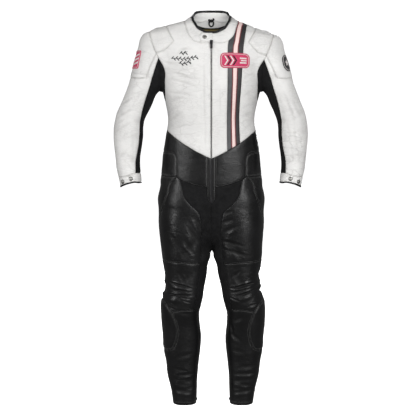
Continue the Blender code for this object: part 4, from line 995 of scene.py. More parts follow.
def surface(points, normals, edge, pad, shade=SEAM_SHADE):
    """Points of the finished outer leather, and the painted shade of its creases and seam grooves
    there.
    """
    deep = folds(points)
    small = creased(points, CREASE_LINES)
    uneven = rumple(points) * smooth_step(0.0, 0.010, edge)
    groove = -GROOVE_DEPTH * np.exp(-((edge / GROOVE_WIDTH) ** 2))
    moved = deep + small + uneven + groove
    if pad:
        rise, channel = pad
        moved = moved + rise * smooth_step(0.001, PAD_BEVEL, edge)
        if channel:
            moved = moved - CHANNEL_DEPTH * np.exp(-(((edge - channel) / CHANNEL_WIDTH) ** 2))
    # Painted shade: darker in the troughs of creases and folds, in the rumple's hollows and along
    # the seam grooves
    dark = np.clip(-(small + 0.6 * deep + 0.5 * uneven) / CREASE_SHADE, 0, 1)
    dark = np.maximum(dark, shade * np.exp(-((edge / SEAM_SHADE_WIDTH) ** 2)))
    return points + normals * moved[:, None], dark


# ---------------------------------------------------------------- seams


def place(kind, *numbers):
    """One point on the form, found the way its kind says."""
    if kind == "near":
        return onto_form(np.array([numbers]))[0]
    first, second = numbers
    if kind == "front":
        start, direction = (first, -0.4, second), (0, 1, 0)
    elif kind == "back":
        start, direction = (first, 0.4, second), (0, -1, 0)
    elif kind == "top":
        start, direction = (first, second, 1.7), (0, 0, -1)
    elif kind == "outer":
        start, direction = (0.6, first, second), (-1, 0, 0)
    elif kind == "sleeve":
        start, direction = (ARM.sides(np.array([second]))[0][0], first, second), (-1, 0, 0)
    else:
        start, direction = (0.0, first, second), (1, 0, 0)
    return first_crossing(np.array([start], float), np.array([direction], float), 0.8)[0]


def smooth_line(knots):
    """Points close together on a smooth curve through the knots."""
    padded = np.vstack([2 * knots[0] - knots[1], knots, 2 * knots[-1] - knots[-2]])
    t = np.linspace(0, 1, 24, endpoint=False)[:, None]
    spans = []
    for before, start, end, after in zip(padded, padded[1:], padded[2:], padded[3:]):
        spans.append(
            0.5
            * (
                2 * start
                + (end - before) * t
                + (2 * before - 5 * start + 4 * end - after) * t**2
                + (3 * start - before - 3 * end + after) * t**3
            )
        )
    return np.vstack(spans + [knots[-1:]])


def run_of(line):
    """How far along an open line each of its points lies."""
    return np.concatenate([[0], np.cumsum(np.linalg.norm(np.diff(line, axis=0), axis=1))])


def points_at(line, run, stops):
    return np.column_stack([np.interp(stops, run, line[:, axis]) for axis in range(3)])


def even_points(line, step):
    """The line divided into equal lengths near the step."""
    run = run_of(line)
    return points_at(line, run, np.linspace(0, run[-1], max(1, round(run[-1] / step)) + 1))


def draw_seams():
    """Every seam as a row of points on the form, the wearer's left side and middle."""
    marks = {name: place(*row) for name, row in LANDMARKS.items()}
    rows = []
    for start, end, *between in SEAMS.values():
        knots = np.array([marks[start], *[place(*row) for row in between], marks[end]])
        rows.append(even_points(smooth_line(knots), LOOP_STEP))
    settled = np.split(onto_form(np.vstack(rows)), np.cumsum([len(row) for row in rows])[:-1])
    seams = {}
    for name, row, points in zip(SEAMS, rows, settled):
        points[[0, -1]] = row[[0, -1]]
        seams[name] = points
    mirrored = {f"{name}~": points * MIRROR for name, points in seams.items()}
    zip_top = marks["neck_zip"] * MIRROR, marks["neck_zip"]
    return {**seams, **mirrored, "zip_top": np.array(zip_top)}


def join_seams(seams, names):
    """The seams run end to end as one closed loop of points."""
    loop = []
    reach = None
    names = names.split()
    for k, name in enumerate(names):
        points = seams[name.lstrip("-")]
        if name.startswith("-"):
            points = points[::-1]
        elif k == 0:
            following = seams[names[1].lstrip("-")]
            ends = following[[0, -1]]
            if np.linalg.norm(ends - points[-1], axis=1).min() > 1e-6:
                points = points[::-1]
        elif np.linalg.norm(points[0] - reach) > 1e-6:
            points = points[::-1]
        if k and np.linalg.norm(points[0] - reach) > 1e-6:
            raise ValueError(f"seam {name} does not follow the one before it")
        loop.extend(points[:-1])
        reach = points[-1]
    if np.linalg.norm(reach - loop[0]) > 1e-6:
        raise ValueError(f"the loop of {names} stays open")
    return np.array(loop)


# ---------------------------------------------------------------- flattening


def in_parts(starts, directions, reach):
    """Crossings for many lines, a few thousand at a time."""
    size = 4000
    found = [
        first_crossing(starts[k : k + size], directions[k : k + size], reach, 61)
        for k in range(0, len(starts), size)
    ]
    return np.vstack(found)


class Tube:
    """Flattens the surface round one limb: turn across, length along it upwards."""

    def __init__(self, sections, radius):
        self.sections = sections
        self.radius = radius
        self.heights = np.linspace(sections.heights[0] - 0.1, sections.heights[-1] + 0.1, 900)
        outer = sections.read(self.heights)[:, 1]
        run = np.hypot(np.diff(self.heights), np.diff(outer))
        self.lengths = np.concatenate([[0], np.cumsum(run)])

    def centre(self, z):
        centre_x, _, centre_y, _ = self.sections.sides(z)
        return np.column_stack([centre_x, centre_y])

    def flatten(self, loop):
        """The loop of points in the flat, with the turn followed continuously."""
        away = loop[:, :2] - self.centre(loop[:, 2])
        angles = np.unwrap(np.arctan2(away[:, 1], away[:, 0]))
        return np.column_stack(
            [angles * self.radius, np.interp(loop[:, 2], self.heights, self.lengths)]
        )

    def raise_points(self, flat):
        """Flat points back on the form."""
        angles = flat[:, 0] / self.radius
        z = np.interp(flat[:, 1], self.lengths, self.heights)
        starts = np.column_stack([self.centre(z), z])
        directions = np.column_stack([np.cos(angles), np.sin(angles), np.zeros(len(flat))])
        return in_parts(starts, directions, 0.45)


class View:
    """Flattens a small piece seen from one side, as a patch is cut."""

    def __init__(self, azimuth):
        turn = math.radians(azimuth)
        self.toward = -np.array([math.cos(turn), math.sin(turn), 0.0])
        self.across = np.array([-math.sin(turn), math.cos(turn), 0.0])

    def raise_points(self, flat):
        starts = flat[:, :1] * self.across - 0.5 * self.toward
        starts[:, 2] = flat[:, 1]
        return in_parts(starts, np.tile(self.toward, (len(flat), 1)), 0.6)


# ---------------------------------------------------------------- cutting panels


def spread(loop, step):
    """A closed loop with more points on its straight stretches."""
    points = []
    for start, end in zip(loop, np.roll(loop, -1, axis=0)):
        count = max(1, math.ceil(np.linalg.norm(end - start) / step))
        points.append(start + (end - start) * (np.arange(count) / count)[:, None])
    return np.vstack(points)


def distance_to(loop):
    """A function giving each point's distance from the closed loop."""
    dense = spread(loop, 0.0012)
    flat = dense.shape[1] == 2
    tree = nearest([(*point, 0.0) for point in dense] if flat else dense)

    def measure(points):
        return np.array([tree.find((*p, 0.0) if flat else p)[2] for p in points])

    return measure


def lattice(loop, step):
    low, high = loop.min(axis=0), loop.max(axis=0)
    rows = np.arange(low[1] + step / 2, high[1], step * 0.88)
    parts = []
    for k, v in enumerate(rows):
        across = np.arange(low[0] + step * (0.25 + 0.5 * (k % 2)), high[0], step)
        parts.append(np.column_stack([across, np.full(len(across), v)]))
    return np.vstack(parts) if parts else np.empty((0, 2))


def moved_in(loop, distance):
    """The closed flat loop moved inwards by a distance, mitred at its corners."""
    before = unit(loop - np.roll(loop, 1, axis=0))
    after = unit(np.roll(loop, -1, axis=0) - loop)
    inward = np.column_stack([-(before + after)[:, 1], (before + after)[:, 0]])
    length = np.maximum((inward**2).sum(axis=1) / 2, 0.35)
    return loop + distance * inward / length[:, None]


def area_of(flat):
    following = np.roll(flat, -1, axis=0)
    return ((flat[:, 0] * following[:, 1] - following[:, 0] * flat[:, 1]).sum()) / 2


def inward_of(points, normals):
    """Unit steps into the panel from each point of its closed loop."""
    before = unit(points - np.roll(points, 1, axis=0))
    after = unit(np.roll(points, -1, axis=0) - points)
    inward = np.cross(normals, before) + np.cross(normals, after)
    return inward / np.maximum((inward**2).sum(axis=1) / 2, 0.30)[:, None]


class Cut:
    """One panel's cloth on the form: its points, normals, faces and distance from its edge."""

    def __init__(self, flattener, flat, loop, step=GRAIN, rings=RINGS):
        if area_of(flat) < 0:
            flat, loop = flat[::-1], loop[::-1]
        measure = distance_to(flat)
        inner = [moved_in(flat, ring) for ring in rings]
        inner = [ring[measure(ring) > 0.85 * size] for ring, size in zip(inner, rings)]
        field = lattice(flat, step)
        last = rings[-1] if rings else 0.0
        inner.append(field[measure(field) > last + 0.45 * step])
        inner = np.vstack(inner)
        count = len(flat)
        vectors = [Vector(p) for p in np.vstack([flat, inner])]
        found = delaunay_2d_cdt(vectors, [], [list(range(count))], 1, 1e-7)
        origins = [ids[0] for ids in found[3]]
        faces = np.array([[origins[k] for k in face] for face in found[2]])
        used = np.unique(np.concatenate([np.arange(count), faces.ravel()]))
        place_of = np.full(len(vectors), -1)
        place_of[used] = np.arange(len(used))
        self.faces = place_of[faces]
        inner_used = used[used >= count] - count
        self.points = loop
        if len(inner_used):
            self.points = np.vstack([loop, flattener.raise_points(inner[inner_used])])
        self.count = count
        self.normals = outward(self.points)
        self.edge = distance_to(loop)(self.points)
        self.edge[:count] = 0

    flipped = False

    def mirrored(self):
        other = Cut.__new__(Cut)
        other.points = self.points * MIRROR
        other.normals = self.normals * MIRROR
        other.faces = self.faces[:, ::-1]
        other.edge, other.count = self.edge, self.count
        other.flipped = True
        return other


def make_object(name, points, faces, finish, smooth=True):
    """A piece on the suit's body from its points in suit heights."""
    mesh = bpy.data.meshes.new(name)
    placed = stance(np.asarray(points, float)) - (0, 0, HOLD_HEIGHT)
    mesh.from_pydata(placed.tolist(), [], [tuple(int(k) for k in face) for face in faces])
    mesh.validate()
    if smooth:
        mesh.polygons.foreach_set("use_smooth", [True] * len(mesh.polygons))
    obj = bpy.data.objects.new(name, mesh)
    bpy.context.scene.collection.objects.link(obj)
    mesh.materials.append(MATERIALS[finish])
    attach(obj, SUIT_BODY)
    return obj


def shell(cut, outer, inner):
    """A closed thin wall from the outer and inner points of one cut."""
    size, count = len(outer), cut.count
    faces = [tuple(face) for face in cut.faces]
    faces += [tuple(k + size for k in reversed(face)) for face in cut.faces.tolist()]
    for k in range(count):
        n = (k + 1) % count
        quad = (n, k, k + size, n + size)
        faces.append(quad[::-1] if cut.flipped else quad)
    return np.vstack([outer, inner]), faces


def sew(name, cut, finish, pad=None, thickness=LEATHER):
    """The finished panel in place of its solid."""
    points = cut.points.copy()
    inward = inward_of(points[: cut.count], cut.normals[: cut.count])
    if cut.flipped:
        inward = -inward
    points[: cut.count] += SEAM_GAP / 2 * inward
    shade = PALE_SEAM_SHADE if finish == "white_leather" else SEAM_SHADE
    outer, dark = surface(points, cut.normals, cut.edge, pad, shade)
    inner = outer - cut.normals * thickness
    if pad:
        inner -= cut.normals * (pad[0] * smooth_step(0.001, PAD_BEVEL, cut.edge))[:, None]
    obj = make_object(f"{name}_sewn", *shell(cut, outer, inner), finish)
    # The inner faces of the collar and back take a paler copy of the white leather: painted light
    # inside the collar
    if name in ("collar", "back"):
        obj.data.materials.append(MATERIALS["pale_inside"])
        count = len(cut.faces)
        inside = len(obj.data.polygons) - count
        obj.data.polygons.foreach_set("material_index", [0] * count + [1] * inside)
    # The painted shade of creases, folds and seam grooves goes to the leather material as a colour
    # attribute
    layer = obj.data.attributes.new("crease", "FLOAT", "POINT")
    layer.data.foreach_set("value", np.concatenate([dark, dark]).astype(np.float32))
    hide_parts(name)
    OUTER.append((outer, cut.faces))


# ---------------------------------------------------------------- small things


def sweep(path, radius, closed, sides=8, flatten=1.0, up=None):
    """Points and faces of a round cord along a path; flatten squeezes it towards the cloth."""
    path = np.asarray(path, float)
    along = round_loop(path) if closed else unit(np.gradient(path, axis=0))
    normals = outward(path) if up is None else up
    normals = unit(normals - (normals * along).sum(axis=1, keepdims=True) * along)
    across = np.cross(along, normals)
    radius = np.broadcast_to(radius, len(path))[:, None]
    turns = np.linspace(0, 2 * math.pi, sides, endpoint=False)
    rings = [
        path + radius * (math.cos(t) * across + flatten * math.sin(t) * normals) for t in turns
    ]
    points = np.stack(rings, axis=1).reshape(-1, 3)
    faces = []
    count = len(path)
    for k in range(count if closed else count - 1):
        n = (k + 1) % count
        for s in range(sides):
            e = (s + 1) % sides
            faces.append((k * sides + s, n * sides + s, n * sides + e, k * sides + e))
    if not closed:
        faces.append(tuple(range(sides)))
        faces.append(tuple((count - 1) * sides + s for s in reversed(range(sides))))
    return points, faces


def gather(parts):
    """Several point and face sets as one."""
    points, faces, first = [], [], 0
    for some, some_faces in parts:
        points.append(some)
        faces += [tuple(first + k for k in face) for face in some_faces]
        first += len(some)
    return np.vstack(points), faces


def repeated(template, template_faces, centres, along, normals):
    """Copies of a small shape, one at each centre, X along the line and Z along the normal."""
    normals = unit(normals - (normals * along).sum(axis=1, keepdims=True) * along)
    across = np.cross(normals, along)
    axes = np.stack([along, across, normals], axis=1)
    points = centres[:, None, :] + np.einsum("pk,nkj->npj", template, axes)
    size = len(template)
    faces = np.array(template_faces)
    firsts = size * np.arange(len(centres))[:, None, None]
    return points.reshape(-1, 3), (faces[None] + firsts).reshape(-1, faces.shape[1]).tolist()


def stitch_shape():
    """One stitch: a spindle that dips into the leather at both ends."""
    half_width, half_height = STITCH_HALF
    points = [(-STITCH_LENGTH / 2, 0, -0.0004), (STITCH_LENGTH / 2, 0, -0.0004)]
    for x in (-0.28, 0.28):
        for y, z in ((-1, -0.2), (0, 1), (1, -0.2), (0, -1)):
            points.append((x * STITCH_LENGTH, y * half_width, z * half_height))
    faces = []
    for s in range(4):
        e = (s + 1) % 4
        faces += [(0, 2 + e, 2 + s), (2 + s, 2 + e, 6 + e)]
        faces += [(2 + s, 6 + e, 6 + s), (1, 6 + s, 6 + e)]
    return np.array(points), faces


def evenly(path, step):
    """Points at even steps along an open path."""
    run = run_of(path)
    return points_at(path, run, np.arange(step / 2, run[-1], step))


def stitch_run(cut, offset, pad):
    """Centres, directions and normals of one row of stitches inside a panel's edge."""
    loop, up = cut.points[: cut.count], cut.normals[: cut.count]
    inward = inward_of(loop, up)
    if cut.flipped:
        inward = -inward
    path = onto_form(loop + offset * inward)
    measure = distance_to(loop)
    closed = np.vstack([path, path[:1]])
    centres = evenly(closed, STITCH_PITCH)
    keep = measure(centres) > 0.90 * offset
    along = round_loop(centres)
    centres, along = centres[keep], along[keep]
    normals = outward(centres)
    edge = np.full(len(centres), offset)
    raised, _ = surface(centres, normals, edge, pad)
    return raised + normals * STITCH_LIFT, along, normals


def stitched(name, runs, finish):
    centres, along, normals = (np.vstack(part) for part in zip(*runs))
    make_object(name, *repeated(*stitch_shape(), centres, along, normals), finish)


def suit_tree():
    """The sewn outer surface, for laying pieces on it."""
    points, faces = gather([(p, f.tolist()) for p, f in OUTER])
    return BVHTree.FromPolygons([Vector(p) for p in points], faces)


def above(points, normals, tree, spread_out=0.004):
    """How far the sewn surface stands off the form near each point, at its highest."""
    reach = 0.03
    heights = np.full(len(points), -reach)
    for k, (point, normal) in enumerate(zip(points, normals)):
        across = np.cross(normal, (0, 0, 1))
        along = np.cross(normal, across)
        offsets = [(0, 0), (1, 0), (-1, 0), (0, 1), (0, -1)]
        for a, b in offsets:
            start = point + spread_out * (a * across + b * along) + reach * normal
            hit = tree.ray_cast(Vector(start), Vector(-normal), 2 * reach)
            if hit[0] is not None:
                heights[k] = max(heights[k], reach - hit[3])
    return heights


def applique(name, view, outline, finish, base, thickness, tree, step=0.0040, sheet=False):
    """A flat piece laid on the suit; base is its height over the leather below it."""
    cut = Cut(view, outline, view.raise_points(outline), step, ())
    height = above(cut.points, cut.normals, tree) + base
    outer = cut.points + cut.normals * (height + thickness)[:, None]
    edge = np.exp(-((cut.edge / 0.0008) ** 2))
    outer -= cut.normals * (0.35 * thickness * edge)[:, None]
    inner = cut.points + cut.normals * (height - 0.0004)[:, None]
    obj = make_object(name, *shell(cut, outer, inner), finish)
    return obj


def rope_on(view, outline, radius, tree, closed, lift):
    """An embroidered cord laid along an outline."""
    flat = spread(outline, ROPE_STEP) if closed else outline
    points = view.raise_points(flat)
    normals = outward(points)
    height = above(points, normals, tree, 0.002) + lift
    path = points + normals * height[:, None]
    return sweep(path, radius, closed, 6, 0.8, normals)


def rounded_outline(width, tall, corner, step):
    """A flat rectangle with round corners about its middle."""
    points = []
    for quarter in range(4):
        start = math.radians(90 * quarter - 90)
        sign_u = 1 if quarter in (0, 1) else -1
        sign_v = 1 if quarter in (1, 2) else -1
        u, v = sign_u * (width / 2 - corner), sign_v * (tall / 2 - corner)
        for part in range(7):
            turn = start + math.radians(15 * part)
            points.append((u + corner * math.cos(turn), v + corner * math.sin(turn)))
    return spread(np.array(points), step)


# ---------------------------------------------------------------- materials


class Nodes:
    """A short way to build one node material."""

    def __init__(self, name):
        self.material = bpy.data.materials.new(name)
        self.material.use_nodes = True
        self.tree = self.material.node_tree
        self.shader = self.tree.nodes["Principled BSDF"]
        self.coordinates = self.add("ShaderNodeTexCoord").outputs["Object"]

    def add(self, kind, inputs=(), **settings):
        node = self.tree.nodes.new(kind)
        for key, value in settings.items():
            setattr(node, key, value)
        for key, value in dict(inputs).items():
            self.put(node.inputs[key], value)
        return node

    def put(self, socket, value):
        if isinstance(value, bpy.types.NodeSocket):
            self.tree.links.new(value, socket)
        else:
            socket.default_value = value

    def put_colour(self, socket, value):
        self.put(socket, (*value, 1) if isinstance(value, tuple) else value)

    def scaled(self, scale):
        inputs = {"Vector": self.coordinates, "Scale": scale}
        return self.add("ShaderNodeMapping", inputs).outputs[0]

    def noise(self, scale, detail=3.0, rough=0.55, stretch=(1, 1, 1)):
        inputs = {"Vector": self.scaled(stretch), "Scale": scale}
        inputs.update({"Detail": detail, "Roughness": rough})
        return self.add("ShaderNodeTexNoise", inputs).outputs["Fac"]

    def warped(self, stretch, amount):
        """Stretched coordinates pushed about, so that cells come out uneven."""
        base = self.scaled(stretch)
        wobble = self.add("ShaderNodeTexNoise", {"Vector": base, "Scale": 11.0, "Detail": 3.0})
        shift = self.vector("SUBTRACT", {0: wobble.outputs["Color"], 1: (0.5, 0.5, 0.5)})
        small = self.vector("SCALE", {0: shift, "Scale": amount})
        return self.vector("ADD", {0: base, 1: small})

    def vector(self, operation, inputs):
        return self.add("ShaderNodeVectorMath", inputs, operation=operation).outputs[0]

    def cells_of(self, inputs, feature):
        return self.add("ShaderNodeTexVoronoi", inputs, feature=feature).outputs["Distance"]

    def wave(self, scale, direction):
        """Fine ribs that run one way."""
        inputs = {"Vector": self.scaled((1, 1, 1)), "Scale": scale}
        return self.add("ShaderNodeTexWave", inputs, bands_direction=direction).outputs["Fac"]

    def wrinkle_lines(self, scale, stretch, width):
        """Thin lines of a web of wrinkles: 1 in a line, 0 between them."""
        inputs = {"Vector": self.warped(stretch, 0.11), "Scale": scale}
        return self.ramp(self.cells_of(inputs, "DISTANCE_TO_EDGE"), 0.0, width, 1.0, 0.0)

    def cells(self, scale, stretch=(1, 1, 1)):
        return self.cells_of({"Vector": self.scaled(stretch), "Scale": scale}, "F1")

    def ramp(self, value, low, high, first, last):
        node = self.add("ShaderNodeMapRange", {"Value": value})
        keys = ("From Min", "From Max", "To Min", "To Max")
        for key, number in zip(keys, (low, high, first, last)):
            node.inputs[key].default_value = number
        return node.outputs["Result"]

    def math(self, operation, first, second):
        return self.add("ShaderNodeMath", {0: first, 1: second}, operation=operation).outputs[0]

    def mix(self, factor, first, second, blend="MIX"):
        node = self.add("ShaderNodeMix", data_type="RGBA", blend_type=blend)
        self.put(node.inputs[0], factor)
        for socket, value in ((node.inputs[6], first), (node.inputs[7], second)):
            self.put_colour(socket, value)
        return node.outputs[2]

    def bump(self, height, strength, distance, normal=None):
        node = self.add("ShaderNodeBump", {"Height": height})
        node.inputs["Strength"].default_value = strength
        node.inputs["Distance"].default_value = distance
        if normal is not None:
            self.put(node.inputs["Normal"], normal)
        return node.outputs["Normal"]

    # The painted shade of creases, folds and seam grooves, from the mesh's colour attribute
    def crease(self):
        return self.add("ShaderNodeAttribute", attribute_name="crease").outputs["Fac"]

    def finish(self, colour, roughness, normal, specular=0.5, metallic=0.0, sheen=0.0):
        shader = self.shader
        self.put_colour(shader.inputs["Base Color"], colour)
        self.put(shader.inputs["Roughness"], roughness)
        if normal is not None:
            self.put(shader.inputs["Normal"], normal)
        shader.inputs["Specular IOR Level"].default_value = specular
        shader.inputs["Metallic"].default_value = metallic
        shader.inputs["Sheen Weight"].default_value = sheen
        return self.material


def leather(name, colour, worn, deep, roughness, specular, rumpled=1.0, web=0.3):
    """Smooth grained cowhide: its colour, its worn patches, and painted shade in its creases, seam
    grooves and web of wrinkle lines.
    """
    n = Nodes(name)
    patches = n.ramp(n.noise(9.0, 5.0, 0.62), 0.36, 0.66, 0.0, 1.0)
    scuffs = n.ramp(n.noise(38.0, 6.0, 0.72, (1.0, 1.0, 2.0)), 0.47, 0.70, 0.0, 1.0)
    tone = n.mix(patches, colour, worn)
    tone = n.mix(n.math("MULTIPLY", scuffs, 0.50), tone, worn)
    where = n.ramp(n.noise(7.0, 3.0, 0.55), 0.42, 0.62, 0.0, 1.0)
    large = n.math("MULTIPLY", n.wrinkle_lines(17.0, (0.8, 0.8, 2.3), 0.055), where)
    fine = n.wrinkle_lines(52.0, (0.9, 0.9, 1.8), 0.10)
    small = n.math("MULTIPLY", fine, n.ramp(n.noise(12.0, 3.0), 0.40, 0.60, 0.0, 1.0))
    lines = n.math("MAXIMUM", large, n.math("MULTIPLY", small, 0.55))
    # Painted shade: the web of wrinkle lines, then the creases and seam grooves, take the darker
    # shade colour
    tone = n.mix(n.math("MULTIPLY", lines, web), tone, deep)
    tone = n.mix(n.math("MULTIPLY", n.crease(), 0.55), tone, deep)
    wrinkles = n.noise(24.0, 5.0, 0.6, (1.0, 1.0, 2.6))
    normal = n.bump(wrinkles, 0.60 * rumpled, 0.0030)
    normal = n.bump(n.math("SUBTRACT", 1.0, lines), 0.55 * rumpled, 0.0011, normal)
    normal = n.bump(n.cells(150.0, (1.0, 1.0, 1.5)), 0.22, 0.0006, normal)
    normal = n.bump(n.cells(760.0), 0.30, 0.00022, normal)
    shine = n.ramp(n.noise(16.0, 3.0), 0.3, 0.7, roughness - 0.07, roughness + 0.09)
    shine = n.math("ADD", shine, n.math("MULTIPLY", n.crease(), 0.30))
    return n.finish(tone, shine, normal, specular)


def stretch_cloth():
    """Matt woven stretch cloth with a fine ribbed weave."""
    n = Nodes("stretch_cloth")
    weave = n.math("MULTIPLY", n.wave(150.0, "Z"), n.wave(190.0, "X"))
    mottled = n.ramp(n.noise(60.0, 4.0), 0.35, 0.7, 0.0, 1.0)
    tone = n.mix(mottled, (0.0045, 0.0045, 0.0048), (0.0095, 0.0095, 0.0100))
    tone = n.mix(n.math("MULTIPLY", weave, 0.35), tone, (0.016, 0.016, 0.017))
    normal = n.bump(n.noise(26.0, 4.0, 0.6, (1, 1, 2)), 0.5, 0.003)
    normal = n.bump(weave, 0.6, 0.0004, normal)
    return n.finish(tone, 0.82, normal, 0.20, sheen=0.02)


def lining_cloth():
    """Dark lining with an olive gold band under the collar."""
    n = Nodes("lining_cloth")
    height = n.add("ShaderNodeSeparateXYZ", {"Vector": n.coordinates}).outputs["Z"]
    low, top = (edge - HOLD_HEIGHT for edge in GOLD_BAND)
    below_top = n.math("LESS_THAN", height, top)
    band = n.math("MULTIPLY", below_top, n.math("GREATER_THAN", height, low))
    twill = n.wave(160.0, "DIAGONAL")
    gold = n.mix(twill, (0.13, 0.10, 0.035), (0.25, 0.19, 0.07))
    dark = n.mix(n.noise(80.0), (0.006, 0.006, 0.006), (0.018, 0.017, 0.015))
    tone = n.mix(band, dark, gold)
    return n.finish(tone, 0.85, n.bump(twill, 0.5, 0.0004), 0.2, sheen=0.1)


def thread(name, colour, pale, scale):
    """Twisted or satin-stitched thread."""
    n = Nodes(name)
    twist = n.wave(scale, "DIAGONAL")
    tone = n.mix(n.ramp(n.noise(220.0, 3.0), 0.3, 0.7, 0.0, 1.0), colour, pale)
    return n.finish(tone, 0.62, n.bump(twist, 0.5, 0.0002), 0.3, sheen=0.1)


def metal(name, colour, roughness):
    """Blackened zip metal, brighter where it is rubbed."""
    n = Nodes(name)
    rubbed = n.ramp(n.noise(240.0, 4.0), 0.45, 0.7, 0.0, 1.0)
    tone = n.mix(rubbed, colour, tuple(min(1.0, 1.7 * c) for c in colour))
    normal = n.bump(n.noise(700.0, 3.0), 0.2, 0.0001)
    shine = n.ramp(n.noise(120.0), 0.3, 0.7, roughness - 0.06, roughness + 0.1)
    return n.finish(tone, shine, normal, 0.5, 1.0)


def finishes(text):
    """Rows of a finish's name, then its values."""
    return {name: tuple(map(float, values)) for name, *values in words(text)}


# Leathers: colour, worn colour, painted shade colour of creases, seam grooves and wrinkle lines,
# roughness, specular, how rumpled, how much painted shade the web of lines takes
# The paler inside row is a copy of the white leather made lighter: painted light inside the collar
# and back
LEATHERS = finishes(
    """
    white_leather 0.765 0.757 0.742 0.68 0.674 0.662 0.36 0.35 0.34 0.5 0.3 1.25 0.38
    black_leather 0.0036 0.0036 0.0038 0.0072 0.0072 0.0076 0.001 0.001 0.001 0.35 0.46 0.55 0.15
    grey_leather 0.04 0.036 0.041 0.062 0.057 0.064 0.014 0.013 0.015 0.46 0.35 0.7 0.3
    pale_inside 0.93 0.925 0.91 0.89 0.885 0.87 0.6 0.59 0.57 0.6 0.2 0.7 0.2
    slate_leather 0.052 0.053 0.056 0.098 0.1 0.103 0.018 0.016 0.018 0.46 0.35 0.7 0.3
    dark_grey_leather 0.026 0.023 0.024 0.04 0.036 0.037 0.01 0.009 0.01 0.46 0.35 0.7 0.3
    pink_leather 0.85 0.665 0.635 0.8 0.61 0.58 0.46 0.28 0.26 0.5 0.3 0.7 0.25
    binding 0.0075 0.0075 0.008 0.014 0.014 0.015 0.003 0.003 0.003 0.42 0.38 0.3 0.2
    """
)
# Threads: colour, paler colour, scale of the twist
THREADS = finishes(
    """
    zip_cloth 0.045 0.045 0.047 0.08 0.08 0.082 900.0
    red_piping 0.12 0.02 0.024 0.19 0.034 0.038 900.0
    crimson_patch 0.47 0.03 0.095 0.6 0.06 0.14 420.0
    black_patch 0.01 0.01 0.011 0.026 0.026 0.028 420.0
    white_thread 0.66 0.62 0.6 0.8 0.76 0.74 420.0
    white_stitch 0.46 0.44 0.41 0.58 0.56 0.52 900.0
    grey_stitch 0.085 0.085 0.085 0.15 0.15 0.145 900.0
    dim_stitch 0.02 0.02 0.021 0.036 0.036 0.037 900.0
    black_thread 0.006 0.006 0.008 0.016 0.016 0.018 420.0
    """
)
# Metals: colour, roughness
METALS = finishes(
    """
    dark_metal 0.06 0.06 0.062 0.4
    zip_metal 0.46 0.455 0.45 0.46
    snap_metal 0.36 0.355 0.335 0.36
    """
)
MATERIALS = {
    **{name: leather(name, v[:3], v[3:6], v[6:9], *v[9:]) for name, v in LEATHERS.items()},
    **{name: thread(name, v[:3], v[3:6], v[6]) for name, v in THREADS.items()},
    **{name: metal(name, v[:3], v[3]) for name, v in METALS.items()},
    "stretch_cloth": stretch_cloth(),
    "lining_cloth": lining_cloth(),
}


# ---------------------------------------------------------------- sewing the suit


TUBES = {"torso": Tube(TORSO, 0.150), "arm": Tube(ARM, 0.066), "leg": Tube(LEG, 0.092)}
CREASE_LINES = crease_lines()
OUTER = []
STITCHES = {"white_stitch": [], "grey_stitch": [], "dim_stitch": []}
# Seams of the black leather whose thread is as dark as the leather
DIM_SEAMS = (
    "crotch_side inner_front knee_in_a knee_in_b inner_back crotch_rear placket_slit placket_c"
    " side_thigh side_knee_a side_knee_b seat_centre side_shin knee_back hem_front hem_back"
    " inner_shin"
).split()
DIM_REACH = 0.0055
PADS = {
    "shoulder_pad": (0.55 * PAD_RISE, 0.0155),
    "arm_pad": (0.4 * PAD_RISE, 0.0),
    "hip_pad_upper": (0.0007, 0.0095),
    "hip_pad_lower": (0.0007, 0.0095),
    "knee_slider_pad": (PAD_RISE, 0.0090),
}
# Finishes that differ from the slot of the solid
SHADES = {
    "stripe_inner_L": "slate_leather",
    "stripe_outer_L": "dark_grey_leather",
    "zip_tape": "zip_cloth",
}


def finish_panel(name, cut, finish, pad, dim):
    finish = SHADES.get(name, finish)
    sew(name, cut, finish, pad)
    if finish not in ("white_leather", "black_leather"):
        return
    for offset in PAD_ROWS if pad and pad[1] else STITCH_ROWS:
        run = stitch_run(cut, offset, pad)
        if finish == "white_leather":
            STITCHES["white_stitch"].append(run)
            continue
        near = dim(run[0]) < DIM_REACH
        STITCHES["dim_stitch"].append([part[near] for part in run])
        STITCHES["grey_stitch"].append([part[~near] for part in run])


def dim_seams(seams):
    """A function giving each point's distance from the nearest seam sewn in dark thread."""
    paths = [spread_open(seams[name], 0.0015) for name in DIM_SEAMS]
    tree = nearest(np.vstack(paths))
    return lambda points: np.array([tree.find((abs(p[0]), p[1], p[2]))[2] for p in points])


def spread_open(path, step):
    return np.vstack([evenly(path, step), path[-1:]])


def cut_panel(seams, name, limb, names):
    loop = join_seams(seams, names)
    return Cut(TUBES[limb], TUBES[limb].flatten(loop), loop, FINE_GRAIN.get(name, GRAIN))


def sew_panels(seams):
    dim = dim_seams(seams)
    for rows in (SIDE_PANELS, SIDE_PADS):
        for name, (limb, names, finish) in rows.items():
            cut = cut_panel(seams, name, limb, names)
            finish_panel(f"{name}_L", cut, finish, PADS.get(name), dim)
            finish_panel(f"{name}_R", cut.mirrored(), finish, PADS.get(name), dim)
    for rows, side in ((LEFT_PANELS, "_L"), (RIGHT_PANELS, "_R"), (MIDDLE_PANELS, "")):
        for name, (limb, names, finish) in rows.items():
            cut = cut_panel(seams, name, limb, names)
            finish_panel(name + side, cut.mirrored() if side == "_R" else cut, finish, None, dim)


